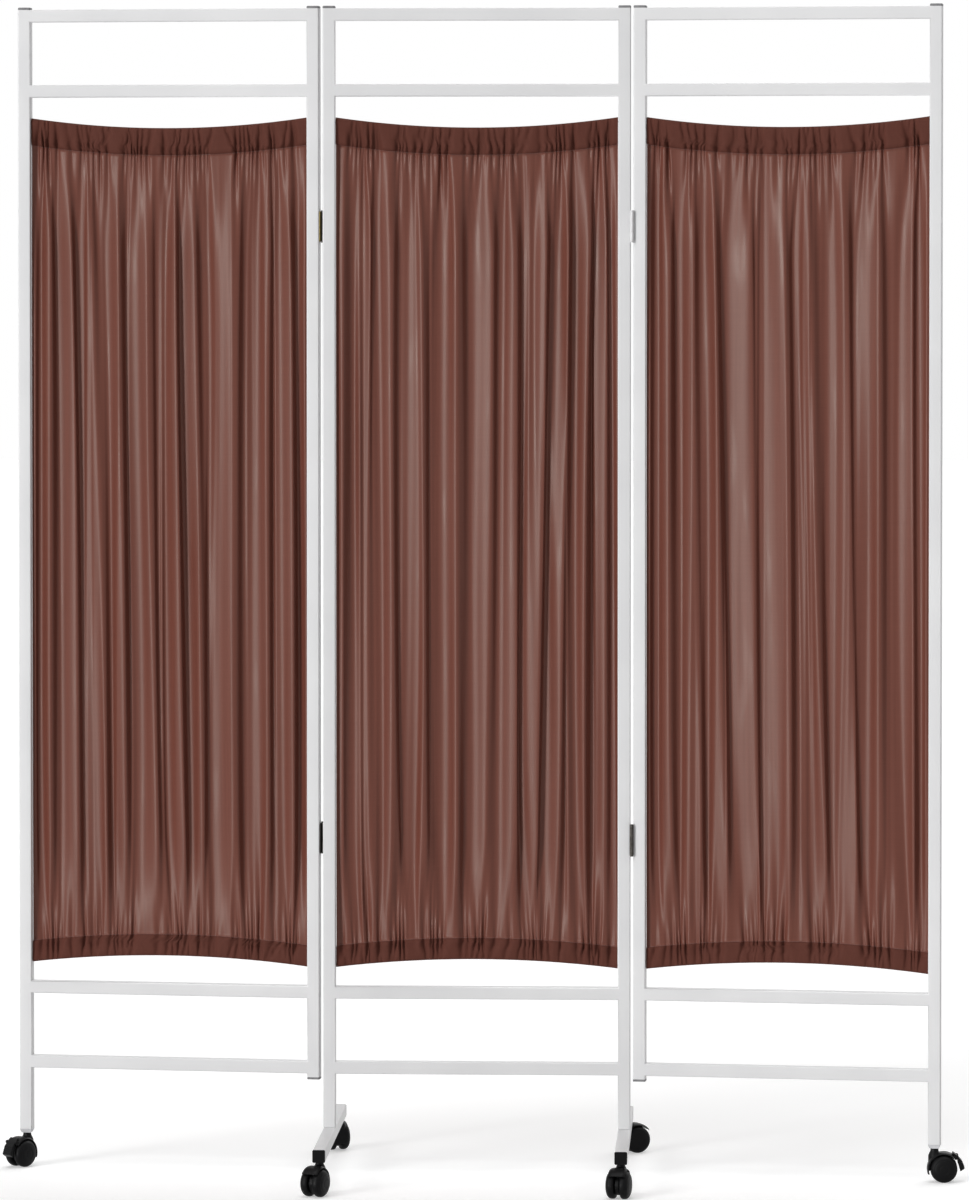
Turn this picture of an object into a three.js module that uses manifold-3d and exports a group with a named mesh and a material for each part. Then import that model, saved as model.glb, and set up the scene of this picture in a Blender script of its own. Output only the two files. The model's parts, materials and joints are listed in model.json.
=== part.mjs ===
// Ward privacy screen on wheels, in millimetres, +Z up. The origin is on the floor under the middle leaf's
// centre. Three leaves of welded square tube are hinged in a shallow Z. The middle leaf stands on two foot
// bars with four swivel casters, and each outer leaf has one braked caster under its outer post. A gathered
// curtain hangs in each leaf between two hem wires that are hooked into the posts.
import * as THREE from 'three';
import { mergeVertices } from 'three/addons/utils/BufferGeometryUtils.js';
import Module from 'manifold-3d';

const wasm = await Module();
wasm.setup();

// Clearances and shared cutting values
const seatGap = 0.3; // between two pieces that rest on each other
const runGap = 0.5; // around a piece that turns or slides in another
const overrun = 2; // how far a cut runs past the face that it opens
const roundSides = 10; // sides of a small round pin, stem or hole
const cornerSteps = 1; // half the steps in a rounded corner
const squareSides = 4;

// Frames of square tube
const tube = 19; // side of the square tube
const wall = 1.2;
const tubeCorner = 1.8; // outer corner radius of the tube
const leafWidth = 468; // outside of one post to outside of the other
const frameHeight = 1774; // floor to the top of the posts and the top rail
const upperRailSpacing = 115; // top rail to second rail
const lowerRailSpacing = 115; // third rail to lowest rail
const lowestRailTop = 171;
const innerPostTail = 5.5; // how far an outer leaf's hinged post runs below its lowest rail
const ventRadius = 2.5; // hole that drains each rail into its posts

// Plugs in the tube ends
const plugClearance = 0.4; // around an insert in its tube, each side
const plugDepth = 14; // insert of a plain plug
const capThickness = 3.7; // flange of a top cap
const capCrown = 1; // bevel around the flange
const tailPlugThickness = 3;

// Foot bars under the middle leaf
const footLength = 480; // over the end plugs
const casterHeight = 51; // floor to the underside of a foot bar
const stemInset = 18; // caster stem to the end of the foot bar
const endPlugThickness = 2.5;
const endPlugDepth = 36; // insert of the end plug, which also holds the stem
const spigotHeight = 30; // stub on the bar that the post stands over
const spigotWall = 1.5;

// Sockets in the outer posts
const socketTaper = 6; // height of the tapered rim between post and caster
const socketTaperInset = 2.5; // how much narrower the rim is below, each side
const socketDepth = 36;

// Hinges in the two seams
const hingeHeight = 46;
const hingeLeafWidth = 16;
const hingeLeafThickness = 1.1;
const hingeLeafSpace = 0.6; // between the two hinge leaves when the screen is flat
const hingeLeafCorner = 2.5;
const knuckleRadius = 3;
const knuckleSpace = 0.4; // between neighbouring knuckles
const knuckleCount = 3;
const hingePinRadius = 1.5;
const pinPlay = 0.15;
const pinHeadRadius = 2.4;
const pinHeadHeight = 1.2;
const upperHingeDrop = 331; // top of the frame to the upper hinge's middle
const lowerHingeHeight = 511; // floor to the lower hinge's middle
const restFoldDegrees = 6.5; // each outer leaf's angle to the middle leaf as the screen stands

// Curtains and the wires in their hems
const curtainTopGap = 33; // second rail to the curtain's top edge at the posts
const curtainBottomGap = 28; // third rail to the curtain's bottom edge at the posts
const topSag = 15.5; // how far the top edge hangs down in the middle
const bottomRise = 13; // how far the bottom edge is drawn up in the middle
const topHem = 40;
const bottomHem = 33;
const clothThickness = 2;
const hemThickness = 7.2;
const foldDepth = 4.6; // half the depth of a main fold
const hemFoldDepth = 0.9;
const foldCount = 16;
const foldSteps = 4; // columns of cloth in one fold
const bodyRows = 2; // strips of cloth between the two hems
const wireRadius = 1.3;
const wireInset = 5; // hem edge to the wire's middle
const wireReach = 5; // how far the wire runs into the post
const wireHook = 8;
const wireSides = 6;
const wireSteps = 10;

// Twin-wheel casters
const wheelRadius = 21;
const wheelWidth = 15.2;
const wheelSteps = 14;
const webThickness = 6; // middle web of the hood, between the wheels
const wheelSideGap = 0.5;
const trail = 14; // stem axis to axle
const hoodGap = 2.7; // wheel tread to the inside of the hood
const hoodWall = 1.8;
const hoodHalfWidth = 13.5;
const hoodSteps = 14;
const hoodEdge = 3; // bevel along the hood's sides
const hoodFrontDegrees = 200; // where the hood ends round the axle, below the stem
const hoodRearDegrees = 38; // where it ends on the trailing side
const downDegrees = -90;
const webRadius = 15;
const neckRadius = 6;
const neckBaseRadius = 8.5;
const stemRadius = 4;
const footStemLength = 15;
const postStemLength = 30;
const axleRadius = 2.5;
const axleEndShare = 0.8; // of the wheel's width
const hubPlay = 0.25;

// Brake pedals on the two outer casters
const pedalHalfWidth = 8.5;
const pedalThickness = 2.6;
const pedalLift = 0.5; // pedal to hood at rest
const pedalPivotRadius = 1.1;
const pedalPivotDegrees = 44; // place of the pivot round the axle, above the trailing side
const pedalTipReach = 6; // how far the tip stands out past the hood
const pedalShoeGap = 2; // brake shoe to wheel at rest
const pedalHeelGap = 4.2; // the pedal's lowest edge to wheel at rest
const pedalEarThickness = 2;
const pedalEarMargin = 1.7; // material around the pivot's hole
const pedalTopDegrees = 62; // the plate's upper end round the axle
const pedalBendDegrees = 34; // where the plate's inside turns in to the shoe
const pedalShoeDegrees = 26; // upper end of the shoe
const pedalShoeEndDegrees = 18;
const pedalHeelDegrees = -8;
const pedalTipDegrees = 3; // upper corner of the tip

// Swivel angles at rest, in degrees from +X, the way each caster trails
const casterAngles = {
  leftFront: -114, leftRear: 110, rightFront: -102, rightRear: 25, leftOuter: -128, rightOuter: 0,
};

// Sizes that follow from those above
const seamGap = 2 * (hingeLeafThickness + seatGap) + hingeLeafSpace;
const pinOffset = tube / 2 + knuckleRadius + seatGap; // leaf's mid-plane to the hinge pin
const postCentre = (leafWidth - tube) / 2;
const railHalf = leafWidth / 2 - tube; // half the clear width between the posts
const bore = tube - 2 * wall;
const insert = bore - 2 * plugClearance;
const lowerRailTop = lowestRailTop + lowerRailSpacing;
const secondRailTop = frameHeight - upperRailSpacing;
const railTops = [frameHeight, secondRailTop, lowerRailTop, lowestRailTop];
const footTop = casterHeight + tube;
const middlePostBottom = footTop + seatGap;
const outerPostBottom = casterHeight + socketTaper + seatGap;
const innerPostBottom = lowestRailTop - tube - innerPostTail;
const stemPlace = footLength / 2 - stemInset;
const upperHingeHeight = frameHeight - upperHingeDrop;
const curtainTop = secondRailTop - tube - curtainTopGap;
const curtainBottom = lowerRailTop + curtainBottomGap;
const clothHalf = railHalf - seatGap;
const topWireHeight = curtainTop - wireInset;
const bottomWireHeight = curtainBottom + wireInset;
const wireHoleRadius = wireRadius + runGap;
const hoodRadius = wheelRadius + hoodGap + hoodWall;
const wheelInner = webThickness / 2 + wheelSideGap;
const pedalPivotReach = hoodRadius + pedalLift + pedalThickness / 2; // axle to the pedal's pivot
const axleHeight = wheelRadius * Math.cos(Math.PI / wheelSteps);

const materials = {
  paint: new THREE.MeshStandardMaterial({ color: 0xe2e3e8, roughness: 0.4, metalness: 0.1 }),
  cloth: new THREE.MeshStandardMaterial({ color: 0x734b44, roughness: 0.9, metalness: 0 }),
  nylon: new THREE.MeshStandardMaterial({ color: 0x17171a, roughness: 0.5, metalness: 0 }),
  tyre: new THREE.MeshStandardMaterial({ color: 0x1d1d20, roughness: 0.6, metalness: 0 }),
  cap: new THREE.MeshStandardMaterial({ color: 0x4a4a4c, roughness: 0.5, metalness: 0 }),
  socket: new THREE.MeshStandardMaterial({ color: 0xd2d3d6, roughness: 0.5, metalness: 0 }),
  wire: new THREE.MeshStandardMaterial({ color: 0xb9bbbd, roughness: 0.35, metalness: 0.9 }),
  hinge: new THREE.MeshStandardMaterial({ color: 0x3a3835, roughness: 0.4, metalness: 0.8 }),
  brass: new THREE.MeshStandardMaterial({ color: 0x8d7a45, roughness: 0.35, metalness: 0.9 }),
};

// The fixed and the moving half of each hinge. One hinge was painted over with its frame.
const hingeFinishes = {
  left: { upper: [materials.hinge, materials.brass], lower: [materials.hinge, materials.hinge] },
  right: { upper: [materials.paint, materials.paint], lower: [materials.hinge, materials.hinge] },
};

const radians = (degrees) => THREE.MathUtils.degToRad(degrees);

// A closed geometry as a solid that can be joined and cut. Triangles that collapse on an axis are dropped.
function toSolid(geometry) {
  const bare = geometry.clone();
  bare.deleteAttribute('normal');
  bare.deleteAttribute('uv');
  const merged = mergeVertices(bare);
  const corners = merged.index.array;
  const kept = [];
  for (let i = 0; i < corners.length; i += 3) {
    const [a, b, c] = [corners[i], corners[i + 1], corners[i + 2]];
    if (a !== b && b !== c && a !== c) kept.push(a, b, c);
  }
  return new wasm.Manifold(new wasm.Mesh({
    numProp: 3,
    vertProperties: new Float32Array(merged.attributes.position.array),
    triVerts: new Uint32Array(kept),
  }));
}

function joined(...solids) {
  return solids.flat().reduce((whole, next) => whole.add(next));
}

function cut(solid, ...tools) {
  return tools.flat().reduce((rest, tool) => rest.subtract(tool), solid);
}

function toMesh(name, solid, material) {
  const mesh = solid.getMesh();
  const geometry = new THREE.BufferGeometry();
  geometry.setAttribute('position', new THREE.BufferAttribute(new Float32Array(mesh.vertProperties), 3));
  geometry.setIndex(new THREE.BufferAttribute(new Uint32Array(mesh.triVerts), 1));
  geometry.computeVertexNormals();
  const piece = new THREE.Mesh(geometry, material);
  piece.name = name;
  return piece;
}

function blockShape(low, high) {
  const size = high.map((value, i) => value - low[i]);
  const centre = high.map((value, i) => (value + low[i]) / 2);
  return new THREE.BoxGeometry(...size).translate(...centre);
}

function block(low, high) {
  return toSolid(blockShape(low, high));
}

// A rod from one height to another along Z
function rod(radius, low, high, x = 0, y = 0, sides = roundSides, topRadius = radius) {
  const shape = new THREE.CylinderGeometry(topRadius, radius, high - low, sides).rotateX(Math.PI / 2);
  return toSolid(shape.translate(x, y, (low + high) / 2));
}

function roundedSquare(side, corner) {
  const half = side / 2;
  const flat = half - corner;
  const shape = new THREE.Shape();
  shape.absarc(flat, -flat, corner, -Math.PI / 2, 0);
  shape.absarc(flat, flat, corner, 0, Math.PI / 2);
  shape.absarc(-flat, flat, corner, Math.PI / 2, Math.PI);
  shape.absarc(-flat, -flat, corner, Math.PI, 1.5 * Math.PI);
  return shape;
}

// A solid square bar with rounded edges, from z = 0 up
function bar(side, length, corner = tubeCorner) {
  return new THREE.ExtrudeGeometry(roundedSquare(side, corner), {
    depth: length, bevelEnabled: false, curveSegments: cornerSteps,
  });
}

// The welded frame of one leaf: two posts, four rails, open bores, vents and the holes for the hem wires
function frame(name, leftBottom, rightBottom) {
  const posts = [[-postCentre, leftBottom], [postCentre, rightBottom]];
  const outside = posts.map(([x, bottom]) => (
    toSolid(bar(tube, frameHeight - bottom).translate(x, 0, bottom))
  ));
  const railLength = 2 * railHalf + tube;
  for (const top of railTops) {
    const rail = bar(tube, railLength).rotateY(Math.PI / 2).translate(-railLength / 2, 0, top - tube / 2);
    outside.push(toSolid(rail));
  }
  const half = bore / 2;
  const hollows = posts.map(([x, bottom]) => block(
    [x - half, -half, bottom - overrun],
    [x + half, half, frameHeight + overrun],
  ));
  for (const top of railTops) {
    const middle = top - tube / 2;
    hollows.push(block([-railHalf, -half, middle - half], [railHalf, half, middle + half]));
    hollows.push(crossHole(ventRadius, middle));
  }
  hollows.push(crossHole(wireHoleRadius, topWireHeight), crossHole(wireHoleRadius, bottomWireHeight));
  return toMesh(name, cut(joined(outside), hollows), materials.paint);
}

// A round cut along X that opens only the posts' inner walls
function crossHole(radius, height) {
  const length = 2 * (railHalf + wall + overrun);
  const shape = new THREE.CylinderGeometry(radius, radius, length, roundSides).rotateZ(Math.PI / 2);
  return toSolid(shape.translate(0, 0, height));
}

// A plug for a tube end: an insert below z = 0 and a flange above it
function plug(flange, depth, crown) {
  const shape = new THREE.ExtrudeGeometry(roundedSquare(tube - 2 * crown, tubeCorner), {
    depth: flange - crown, curveSegments: cornerSteps,
    bevelEnabled: crown > 0, bevelSegments: 1, bevelThickness: crown, bevelSize: crown,
  });
  const head = toSolid(shape.translate(0, 0, seatGap));
  const half = insert / 2;
  const trimmed = cut(head, block([-tube, -tube, -tube], [tube, tube, seatGap]));
  return joined(trimmed, block([-half, -half, -depth], [half, half, seatGap + flange / 2]));
}

function topCap(name, x) {
  const piece = toMesh(name, plug(capThickness - seatGap, plugDepth, capCrown), materials.cap);
  piece.position.set(x, 0, frameHeight);
  return piece;
}

function tailPlug(name, x) {
  const piece = toMesh(name, plug(tailPlugThickness, plugDepth, 0), materials.cap);
  piece.rotation.x = Math.PI;
  piece.position.set(x, 0, innerPostBottom);
  return piece;
}

// The socket in an outer post: an insert with a bore for the stem, on a rim that tapers to the caster
function stemSocket(name, x) {
  const low = casterHeight + seatGap;
  const rimTop = outerPostBottom - seatGap;
  const side = tube / Math.SQRT2;
  const narrow = (tube - 2 * socketTaperInset) / Math.SQRT2;
  const rim = new THREE.CylinderGeometry(side, narrow, rimTop - low, squareSides);
  rim.rotateX(Math.PI / 2).rotateZ(Math.PI / squareSides).translate(0, 0, (rimTop + low) / 2);
  const half = insert / 2;
  const top = outerPostBottom + socketDepth;
  const body = joined(toSolid(rim), block([-half, -half, rimTop - overrun], [half, half, top]));
  const hole = rod(stemRadius + runGap, low - overrun, casterHeight + postStemLength + overrun);
  const piece = toMesh(name, cut(body, hole), materials.socket);
  piece.position.set(x, 0, 0);
  return piece;
}

// A foot bar along Y with its spigot, its bore and the holes that let the stems through
function foot(name, x) {
  const half = bore / 2;
  const length = footLength - 2 * (endPlugThickness + seatGap);
  const middle = casterHeight + tube / 2;
  const outside = toSolid(bar(tube, length).rotateX(-Math.PI / 2).translate(0, -length / 2, middle));
  const spigotHalf = insert / 2;
  const hollowHalf = spigotHalf - spigotWall;
  const spigotTop = footTop + spigotHeight;
  const spigot = block([-spigotHalf, -spigotHalf, footTop - wall], [spigotHalf, spigotHalf, spigotTop]);
  const hollows = [
    block([-half, -length / 2 - overrun, middle - half], [half, length / 2 + overrun, middle + half]),
    block([-hollowHalf, -hollowHalf, footTop], [hollowHalf, hollowHalf, spigotTop + overrun]),
  ];
  for (const side of [-1, 1]) {
    const y = side * stemPlace;
    hollows.push(rod(stemRadius + runGap, casterHeight - overrun, casterHeight + wall + overrun, 0, y));
  }
  const piece = toMesh(name, cut(joined(outside, spigot), hollows), materials.paint);
  piece.position.x = x;
  return piece;
}

// An end plug of a foot bar, bored from below for the caster's stem
function endPlug(name, x, side) {
  const body = plug(endPlugThickness, endPlugDepth, 0);
  const holeHalf = tube / 2 + overrun;
  const holeRadius = stemRadius + runGap;
  const hole = new THREE.CylinderGeometry(holeRadius, holeRadius, 2 * holeHalf, roundSides);
  const inset = stemInset - endPlugThickness - seatGap;
  const piece = toMesh(name, cut(body, toSolid(hole.translate(0, 0, -inset))), materials.nylon);
  piece.rotation.x = -side * Math.PI / 2;
  piece.position.set(x, side * (footLength / 2 - endPlugThickness - seatGap), casterHeight + tube / 2);
  return piece;
}

// One leaf of a hinge, beside the axis on +X or -X, with its plate towards -Y
function hingeLeaf(name, side, knuckles, material) {
  const near = hingeLeafSpace / 2;
  const far = near + hingeLeafThickness;
  const start = knuckleRadius + seatGap;
  const end = start + hingeLeafWidth;
  const half = hingeHeight / 2;
  const corner = hingeLeafCorner;
  const outline = new THREE.Shape();
  outline.moveTo(start, -half);
  outline.lineTo(end - corner, -half);
  outline.absarc(end - corner, corner - half, corner, -Math.PI / 2, 0);
  outline.absarc(end - corner, half - corner, corner, 0, Math.PI / 2);
  outline.lineTo(start, half);
  const plate = new THREE.ExtrudeGeometry(outline, {
    depth: hingeLeafThickness, bevelEnabled: false, curveSegments: cornerSteps,
  });
  // The outline's x runs away from the pin, so it is turned to -Y, and its thickness to X
  plate.rotateX(Math.PI / 2).rotateZ(-Math.PI / 2).translate(side > 0 ? far : -near, 0, 0);
  const holeRadius = (hingePinRadius + pinPlay) / Math.cos(Math.PI / roundSides);
  const parts = [toSolid(plate)];
  for (const [low, high] of knuckles) {
    parts.push(rod(knuckleRadius, low, high));
    const inner = Math.min(side * near, side * far);
    const outer = Math.max(side * near, side * far);
    parts.push(block([inner, -start - hingeLeafThickness, low], [outer, -hingePinRadius, high]));
  }
  return toMesh(name, cut(joined(parts), rod(holeRadius, -hingeHeight, hingeHeight)), material);
}

function hingePin(name, material) {
  const neck = hingeHeight / 2 + seatGap;
  const top = neck + pinHeadHeight;
  const outline = [[0, -top], [pinHeadRadius, -top], [pinHeadRadius, -neck], [hingePinRadius, -neck],
    [hingePinRadius, neck], [pinHeadRadius, neck], [pinHeadRadius, top], [0, top]];
  const points = outline.map(([x, y]) => new THREE.Vector2(x, y));
  const shape = new THREE.LatheGeometry(points, roundSides).rotateX(Math.PI / 2);
  return toMesh(name, toSolid(shape), material);
}

// The knuckles share the hinge's height, the outer two on the fixed leaf
function knuckleSpans() {
  const half = hingeHeight / 2;
  const step = hingeHeight / knuckleCount;
  const space = knuckleSpace / 2;
  return {
    fixed: [[-half, step - half - space], [half - step + space, half]],
    moving: [[step - half + space, half - step - space]],
  };
}

// A run of hem between two heights, sagging or rising as a parabola
class HemLine extends THREE.Curve {
  constructor(half, height, rise) {
    super();
    this.half = half;
    this.height = height;
    this.rise = rise;
  }

  getPoint(t, target = new THREE.Vector3()) {
    const x = (2 * t - 1) * this.half;
    return target.set(x, 0, hemHeight(x, this.height, this.rise));
  }
}

function hemHeight(x, height, rise) {
  const share = x / railHalf;
  return height + rise * (1 - share * share);
}

function hemTube(radius, half, height, rise) {
  const section = new THREE.Shape();
  section.absarc(0, 0, radius, 0, 2 * Math.PI);
  return toSolid(new THREE.ExtrudeGeometry(section, {
    steps: wireSteps, extrudePath: new HemLine(half, height, rise), curveSegments: wireSides / 2,
  }));
}

// A hem wire: it runs through both inner post walls and ends in a hook inside each post
function hemWire(name, height, rise) {
  const end = railHalf + wall + wireReach;
  const start = railHalf - wireRadius;
  const parts = [hemTube(wireRadius, railHalf, height, rise)];
  for (const side of [-1, 1]) {
    const straight = new THREE.CylinderGeometry(wireRadius, wireRadius, end - start, wireSides);
    parts.push(toSolid(straight.rotateZ(Math.PI / 2).translate(side * (start + end) / 2, 0, height)));
    parts.push(rod(wireRadius, height - wireHook, height + wireRadius, side * end, 0, wireSides));
  }
  return toMesh(name, joined(parts), materials.wire);
}

// One curtain: vertical folds between two thick hems, each hem bored for its wire
function curtain(name) {
  const columns = foldSteps * foldCount;
  const rows = bodyRows + 2;
  const front = [];
  const back = [];
  for (let row = 0; row <= rows; row += 1) {
    for (let column = 0; column <= columns; column += 1) {
      const [x, y, z, half] = clothPoint(row, rows, column / columns);
      front.push([x, y - half, z]);
      back.push([x, y + half, z]);
    }
  }
  const across = columns + 1;
  const points = front.concat(back).flat();
  const offset = front.length;
  const faces = [];
  const quad = (a, b, c, d) => faces.push(a, b, c, a, c, d);
  for (let row = 0; row < rows; row += 1) {
    for (let column = 0; column < columns; column += 1) {
      const corner = row * across + column;
      const above = corner + across;
      quad(corner, corner + 1, above + 1, above);
      quad(offset + corner, offset + above, offset + above + 1, offset + corner + 1);
    }
    const left = row * across;
    const right = left + columns;
    quad(left, left + across, offset + left + across, offset + left);
    quad(right, offset + right, offset + right + across, right + across);
  }
  const last = rows * across;
  for (let column = 0; column < columns; column += 1) {
    quad(column, offset + column, offset + column + 1, column + 1);
    const top = last + column;
    quad(top, top + 1, offset + top + 1, offset + top);
  }
  const geometry = new THREE.BufferGeometry();
  geometry.setAttribute('position', new THREE.Float32BufferAttribute(points, 3));
  geometry.setIndex(faces);
  const pocketRadius = wireRadius + runGap;
  const pockets = [
    hemTube(pocketRadius, railHalf + overrun, topWireHeight, -topSag),
    hemTube(pocketRadius, railHalf + overrun, bottomWireHeight, bottomRise),
  ];
  return toMesh(name, cut(toSolid(geometry), pockets), materials.cloth);
}

// Where the cloth's middle surface lies at a row and a share of the width, and half its thickness there
function clothPoint(row, rows, share) {
  const x = (2 * share - 1) * clothHalf;
  const low = hemHeight(x, curtainBottom, bottomRise);
  const high = hemHeight(x, curtainTop, -topSag);
  const bodyLow = low + bottomHem;
  const bodyHigh = high - topHem;
  const edge = row === 0 || row === rows;
  const inBody = row > 1 && row < rows - 1;
  let z = bodyLow + (bodyHigh - bodyLow) * (row - 1) / bodyRows;
  if (row === 0) z = low;
  if (row === rows) z = high;
  const depth = inBody ? foldDepth : hemFoldDepth;
  const y = depth * Math.sin(2 * Math.PI * foldCount * share);
  return [x, y, z, (edge ? hemThickness : clothThickness) / 2];
}

// The outline of a wheel from its inner face outwards, as shares of its width and its radius
const wheelShares = [
  [0, 0.8], [0.24, 1], [0.5, 1], [0.74, 0.9], [0.92, 0.66], [1, 0.3],
];

// A domed wheel about the Y axis, its inner face at y = 0 and its blind bore open there
function wheel(name, side) {
  const rim = wheelShares.map(([width, radius]) => [width * wheelWidth, radius * wheelRadius]);
  const boreRadius = axleRadius + hubPlay;
  const boreDepth = wheelWidth * axleEndShare + hubPlay;
  const outline = [[boreDepth, 0], [boreDepth, boreRadius], [0, boreRadius], ...rim, [wheelWidth, 0]];
  const points = outline.map(([y, radius]) => new THREE.Vector2(radius, y));
  // A facet of the wheel, not a corner, faces the floor
  const shape = new THREE.LatheGeometry(points, wheelSteps, Math.PI / wheelSteps);
  const piece = toMesh(name, toSolid(shape), materials.tyre);
  if (side < 0) piece.rotation.z = Math.PI;
  piece.position.set(trail, side * wheelInner, axleHeight);
  return piece;
}

// A caster's hood with its web, neck, stem and axle. The stem is on the Z axis and the axle lies at +X.
function hood(name, stemLength, braked) {
  const width = hoodHalfWidth;
  const outline = [[0, -width], [hoodRadius - hoodEdge, -width], [hoodRadius, hoodEdge - width],
    [hoodRadius, width - hoodEdge], [hoodRadius - hoodEdge, width], [0, width]];
  const points = outline.map(([radius, y]) => new THREE.Vector2(radius, y));
  const shell = toSolid(new THREE.LatheGeometry(points, hoodSteps).translate(trail, 0, axleHeight));
  const reach = 2 * hoodRadius;
  const open = [
    polar(0, 0), polar(reach, hoodFrontDegrees),
    polar(2 * reach, downDegrees), polar(reach, hoodRearDegrees),
  ];
  const clear = [prism(open, -reach, reach)];
  const inside = wheelRadius + hoodGap;
  for (const side of [-1, 1]) {
    const space = new THREE.CylinderGeometry(inside, inside, width, hoodSteps);
    space.translate(trail, side * (webThickness + width) / 2, axleHeight);
    clear.push(toSolid(space));
  }
  const neckTop = casterHeight - seatGap;
  const neckLow = axleHeight + wheelRadius - hoodEdge;
  const neck = rod(neckBaseRadius, neckLow - hoodEdge, neckTop, 0, 0, roundSides, neckRadius);
  const parts = [cut(joined(shell, neck), clear)];
  parts.push(axleRod(webRadius, webThickness / 2, hoodSteps));
  parts.push(axleRod(axleRadius, wheelInner + wheelWidth * axleEndShare - hubPlay, roundSides));
  parts.push(rod(stemRadius, neckLow, casterHeight + stemLength));
  if (braked) parts.push(...pedalEars());
  return toMesh(name, joined(parts), materials.nylon);
}

function axleRod(radius, half, sides) {
  const shape = new THREE.CylinderGeometry(radius, radius, 2 * half, sides);
  return toSolid(shape.translate(trail, 0, axleHeight));
}

// A place round the axle, as X from the stem and height over the floor. Zero degrees is the trailing side.
function polar(radius, degrees) {
  const angle = radians(degrees);
  return [trail + radius * Math.cos(angle), axleHeight + radius * Math.sin(angle)];
}

// A prism along Y from an outline in X and Z
function prism(outline, low, high) {
  const shape = new THREE.Shape(outline.map(([x, z]) => new THREE.Vector2(x, z)));
  const geometry = new THREE.ExtrudeGeometry(shape, { depth: high - low, bevelEnabled: false });
  return toSolid(geometry.rotateX(Math.PI / 2).translate(0, high, 0));
}

// The two ears on the hood that hold the pedal's pivot pin
function pedalEars() {
  const [x, z] = polar(pedalPivotReach, pedalPivotDegrees);
  const root = hoodRadius - hoodWall / 2;
  const half = pedalPivotRadius + pedalEarMargin;
  const tip = pedalPivotReach + half;
  const angle = radians(pedalPivotDegrees);
  const outline = [[root, -half], [tip, -half], [tip, half], [root, half]].map(([out, side]) => [
    trail + out * Math.cos(angle) - side * Math.sin(angle),
    axleHeight + out * Math.sin(angle) + side * Math.cos(angle),
  ]);
  const holeRadius = pedalPivotRadius + hubPlay;
  const near = pedalHalfWidth + runGap;
  const far = near + pedalEarThickness;
  const hole = new THREE.CylinderGeometry(holeRadius, holeRadius, 2 * far + overrun, roundSides);
  hole.translate(x, 0, z);
  return [[-far, -near], [near, far]].map((ends) => cut(prism(outline, ...ends), toSolid(hole)));
}

// A brake pedal: a curved plate over the hood's trailing side with a shoe above the wheels, a wedge to
// tread on, and a pivot pin through the hood's two ears
function brakePedal(name) {
  const inside = hoodRadius + pedalLift;
  const outside = inside + pedalThickness;
  const shoe = wheelRadius + pedalShoeGap;
  const heel = wheelRadius + pedalHeelGap;
  const tip = hoodRadius + pedalTipReach;
  const upperDegrees = (pedalTopDegrees + pedalPivotDegrees) / 2;
  const places = [
    [inside, pedalTopDegrees], [inside, upperDegrees], [inside, pedalPivotDegrees],
    [inside, pedalBendDegrees], [shoe, pedalShoeDegrees], [shoe, pedalShoeEndDegrees],
    [heel, pedalHeelDegrees], [tip - pedalThickness / 2, 0], [tip, pedalTipDegrees],
    [outside + pedalThickness / 2, pedalShoeDegrees],
    [outside, pedalPivotDegrees], [outside, pedalTopDegrees],
  ];
  const outline = places.map(([radius, degrees]) => polar(radius, degrees));
  const plate = prism(outline, -pedalHalfWidth, pedalHalfWidth);
  const [x, z] = polar(pedalPivotReach, pedalPivotDegrees);
  const pinHalf = pedalHalfWidth + runGap + pedalEarThickness;
  const pin = new THREE.CylinderGeometry(pedalPivotRadius, pedalPivotRadius, 2 * pinHalf, roundSides);
  return toMesh(name, joined(plate, toSolid(pin.translate(x, 0, z))), materials.nylon);
}

// A whole caster at its rest swivel angle, its stem over x and y
function caster(name, x, y, degrees, stemLength, braked) {
  const group = new THREE.Group();
  group.add(hood(`${name}_hood`, stemLength, braked));
  group.add(wheel(`${name}_wheel_a`, -1));
  group.add(wheel(`${name}_wheel_b`, 1));
  if (braked) group.add(brakePedal(`${name}_brake_pedal`));
  group.position.set(x, y, 0);
  group.rotation.z = radians(degrees);
  return group;
}

// What every leaf has: frame, top caps, curtain and wires
function leaf(side, leftBottom, rightBottom) {
  const group = new THREE.Group();
  group.add(
    frame(`frame_${side}`, leftBottom, rightBottom),
    topCap(`top_cap_${side}_a`, -postCentre),
    topCap(`top_cap_${side}_b`, postCentre),
    curtain(`curtain_${side}`),
    hemWire(`top_wire_${side}`, topWireHeight, -topSag),
    hemWire(`bottom_wire_${side}`, bottomWireHeight, bottomRise),
  );
  return group;
}

function middleLeaf() {
  const group = leaf('middle', middlePostBottom, middlePostBottom);
  for (const [side, x] of [['left', -postCentre], ['right', postCentre]]) {
    group.add(foot(`foot_${side}`, x));
    for (const [end, way] of [['front', -1], ['rear', 1]]) {
      group.add(endPlug(`foot_plug_${side}_${end}`, x, way));
      const angle = casterAngles[side + (way < 0 ? 'Front' : 'Rear')];
      group.add(caster(`caster_${side}_${end}`, x, way * stemPlace, angle, footStemLength, false));
    }
  }
  return group;
}

// An outer leaf in its own frame, its hinged post on +X for the left leaf and on -X for the right leaf
function outerLeaf(side, way) {
  const outer = -way * postCentre;
  const inner = way * postCentre;
  const bottoms = way > 0 ? [outerPostBottom, innerPostBottom] : [innerPostBottom, outerPostBottom];
  const group = leaf(side, ...bottoms);
  group.add(tailPlug(`tail_plug_${side}`, inner), stemSocket(`stem_socket_${side}`, outer));
  const angle = casterAngles[`${side}Outer`] + restFoldDegrees;
  group.add(caster(`caster_${side}_outer`, outer, 0, angle, postStemLength, true));
  return group;
}

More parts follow.
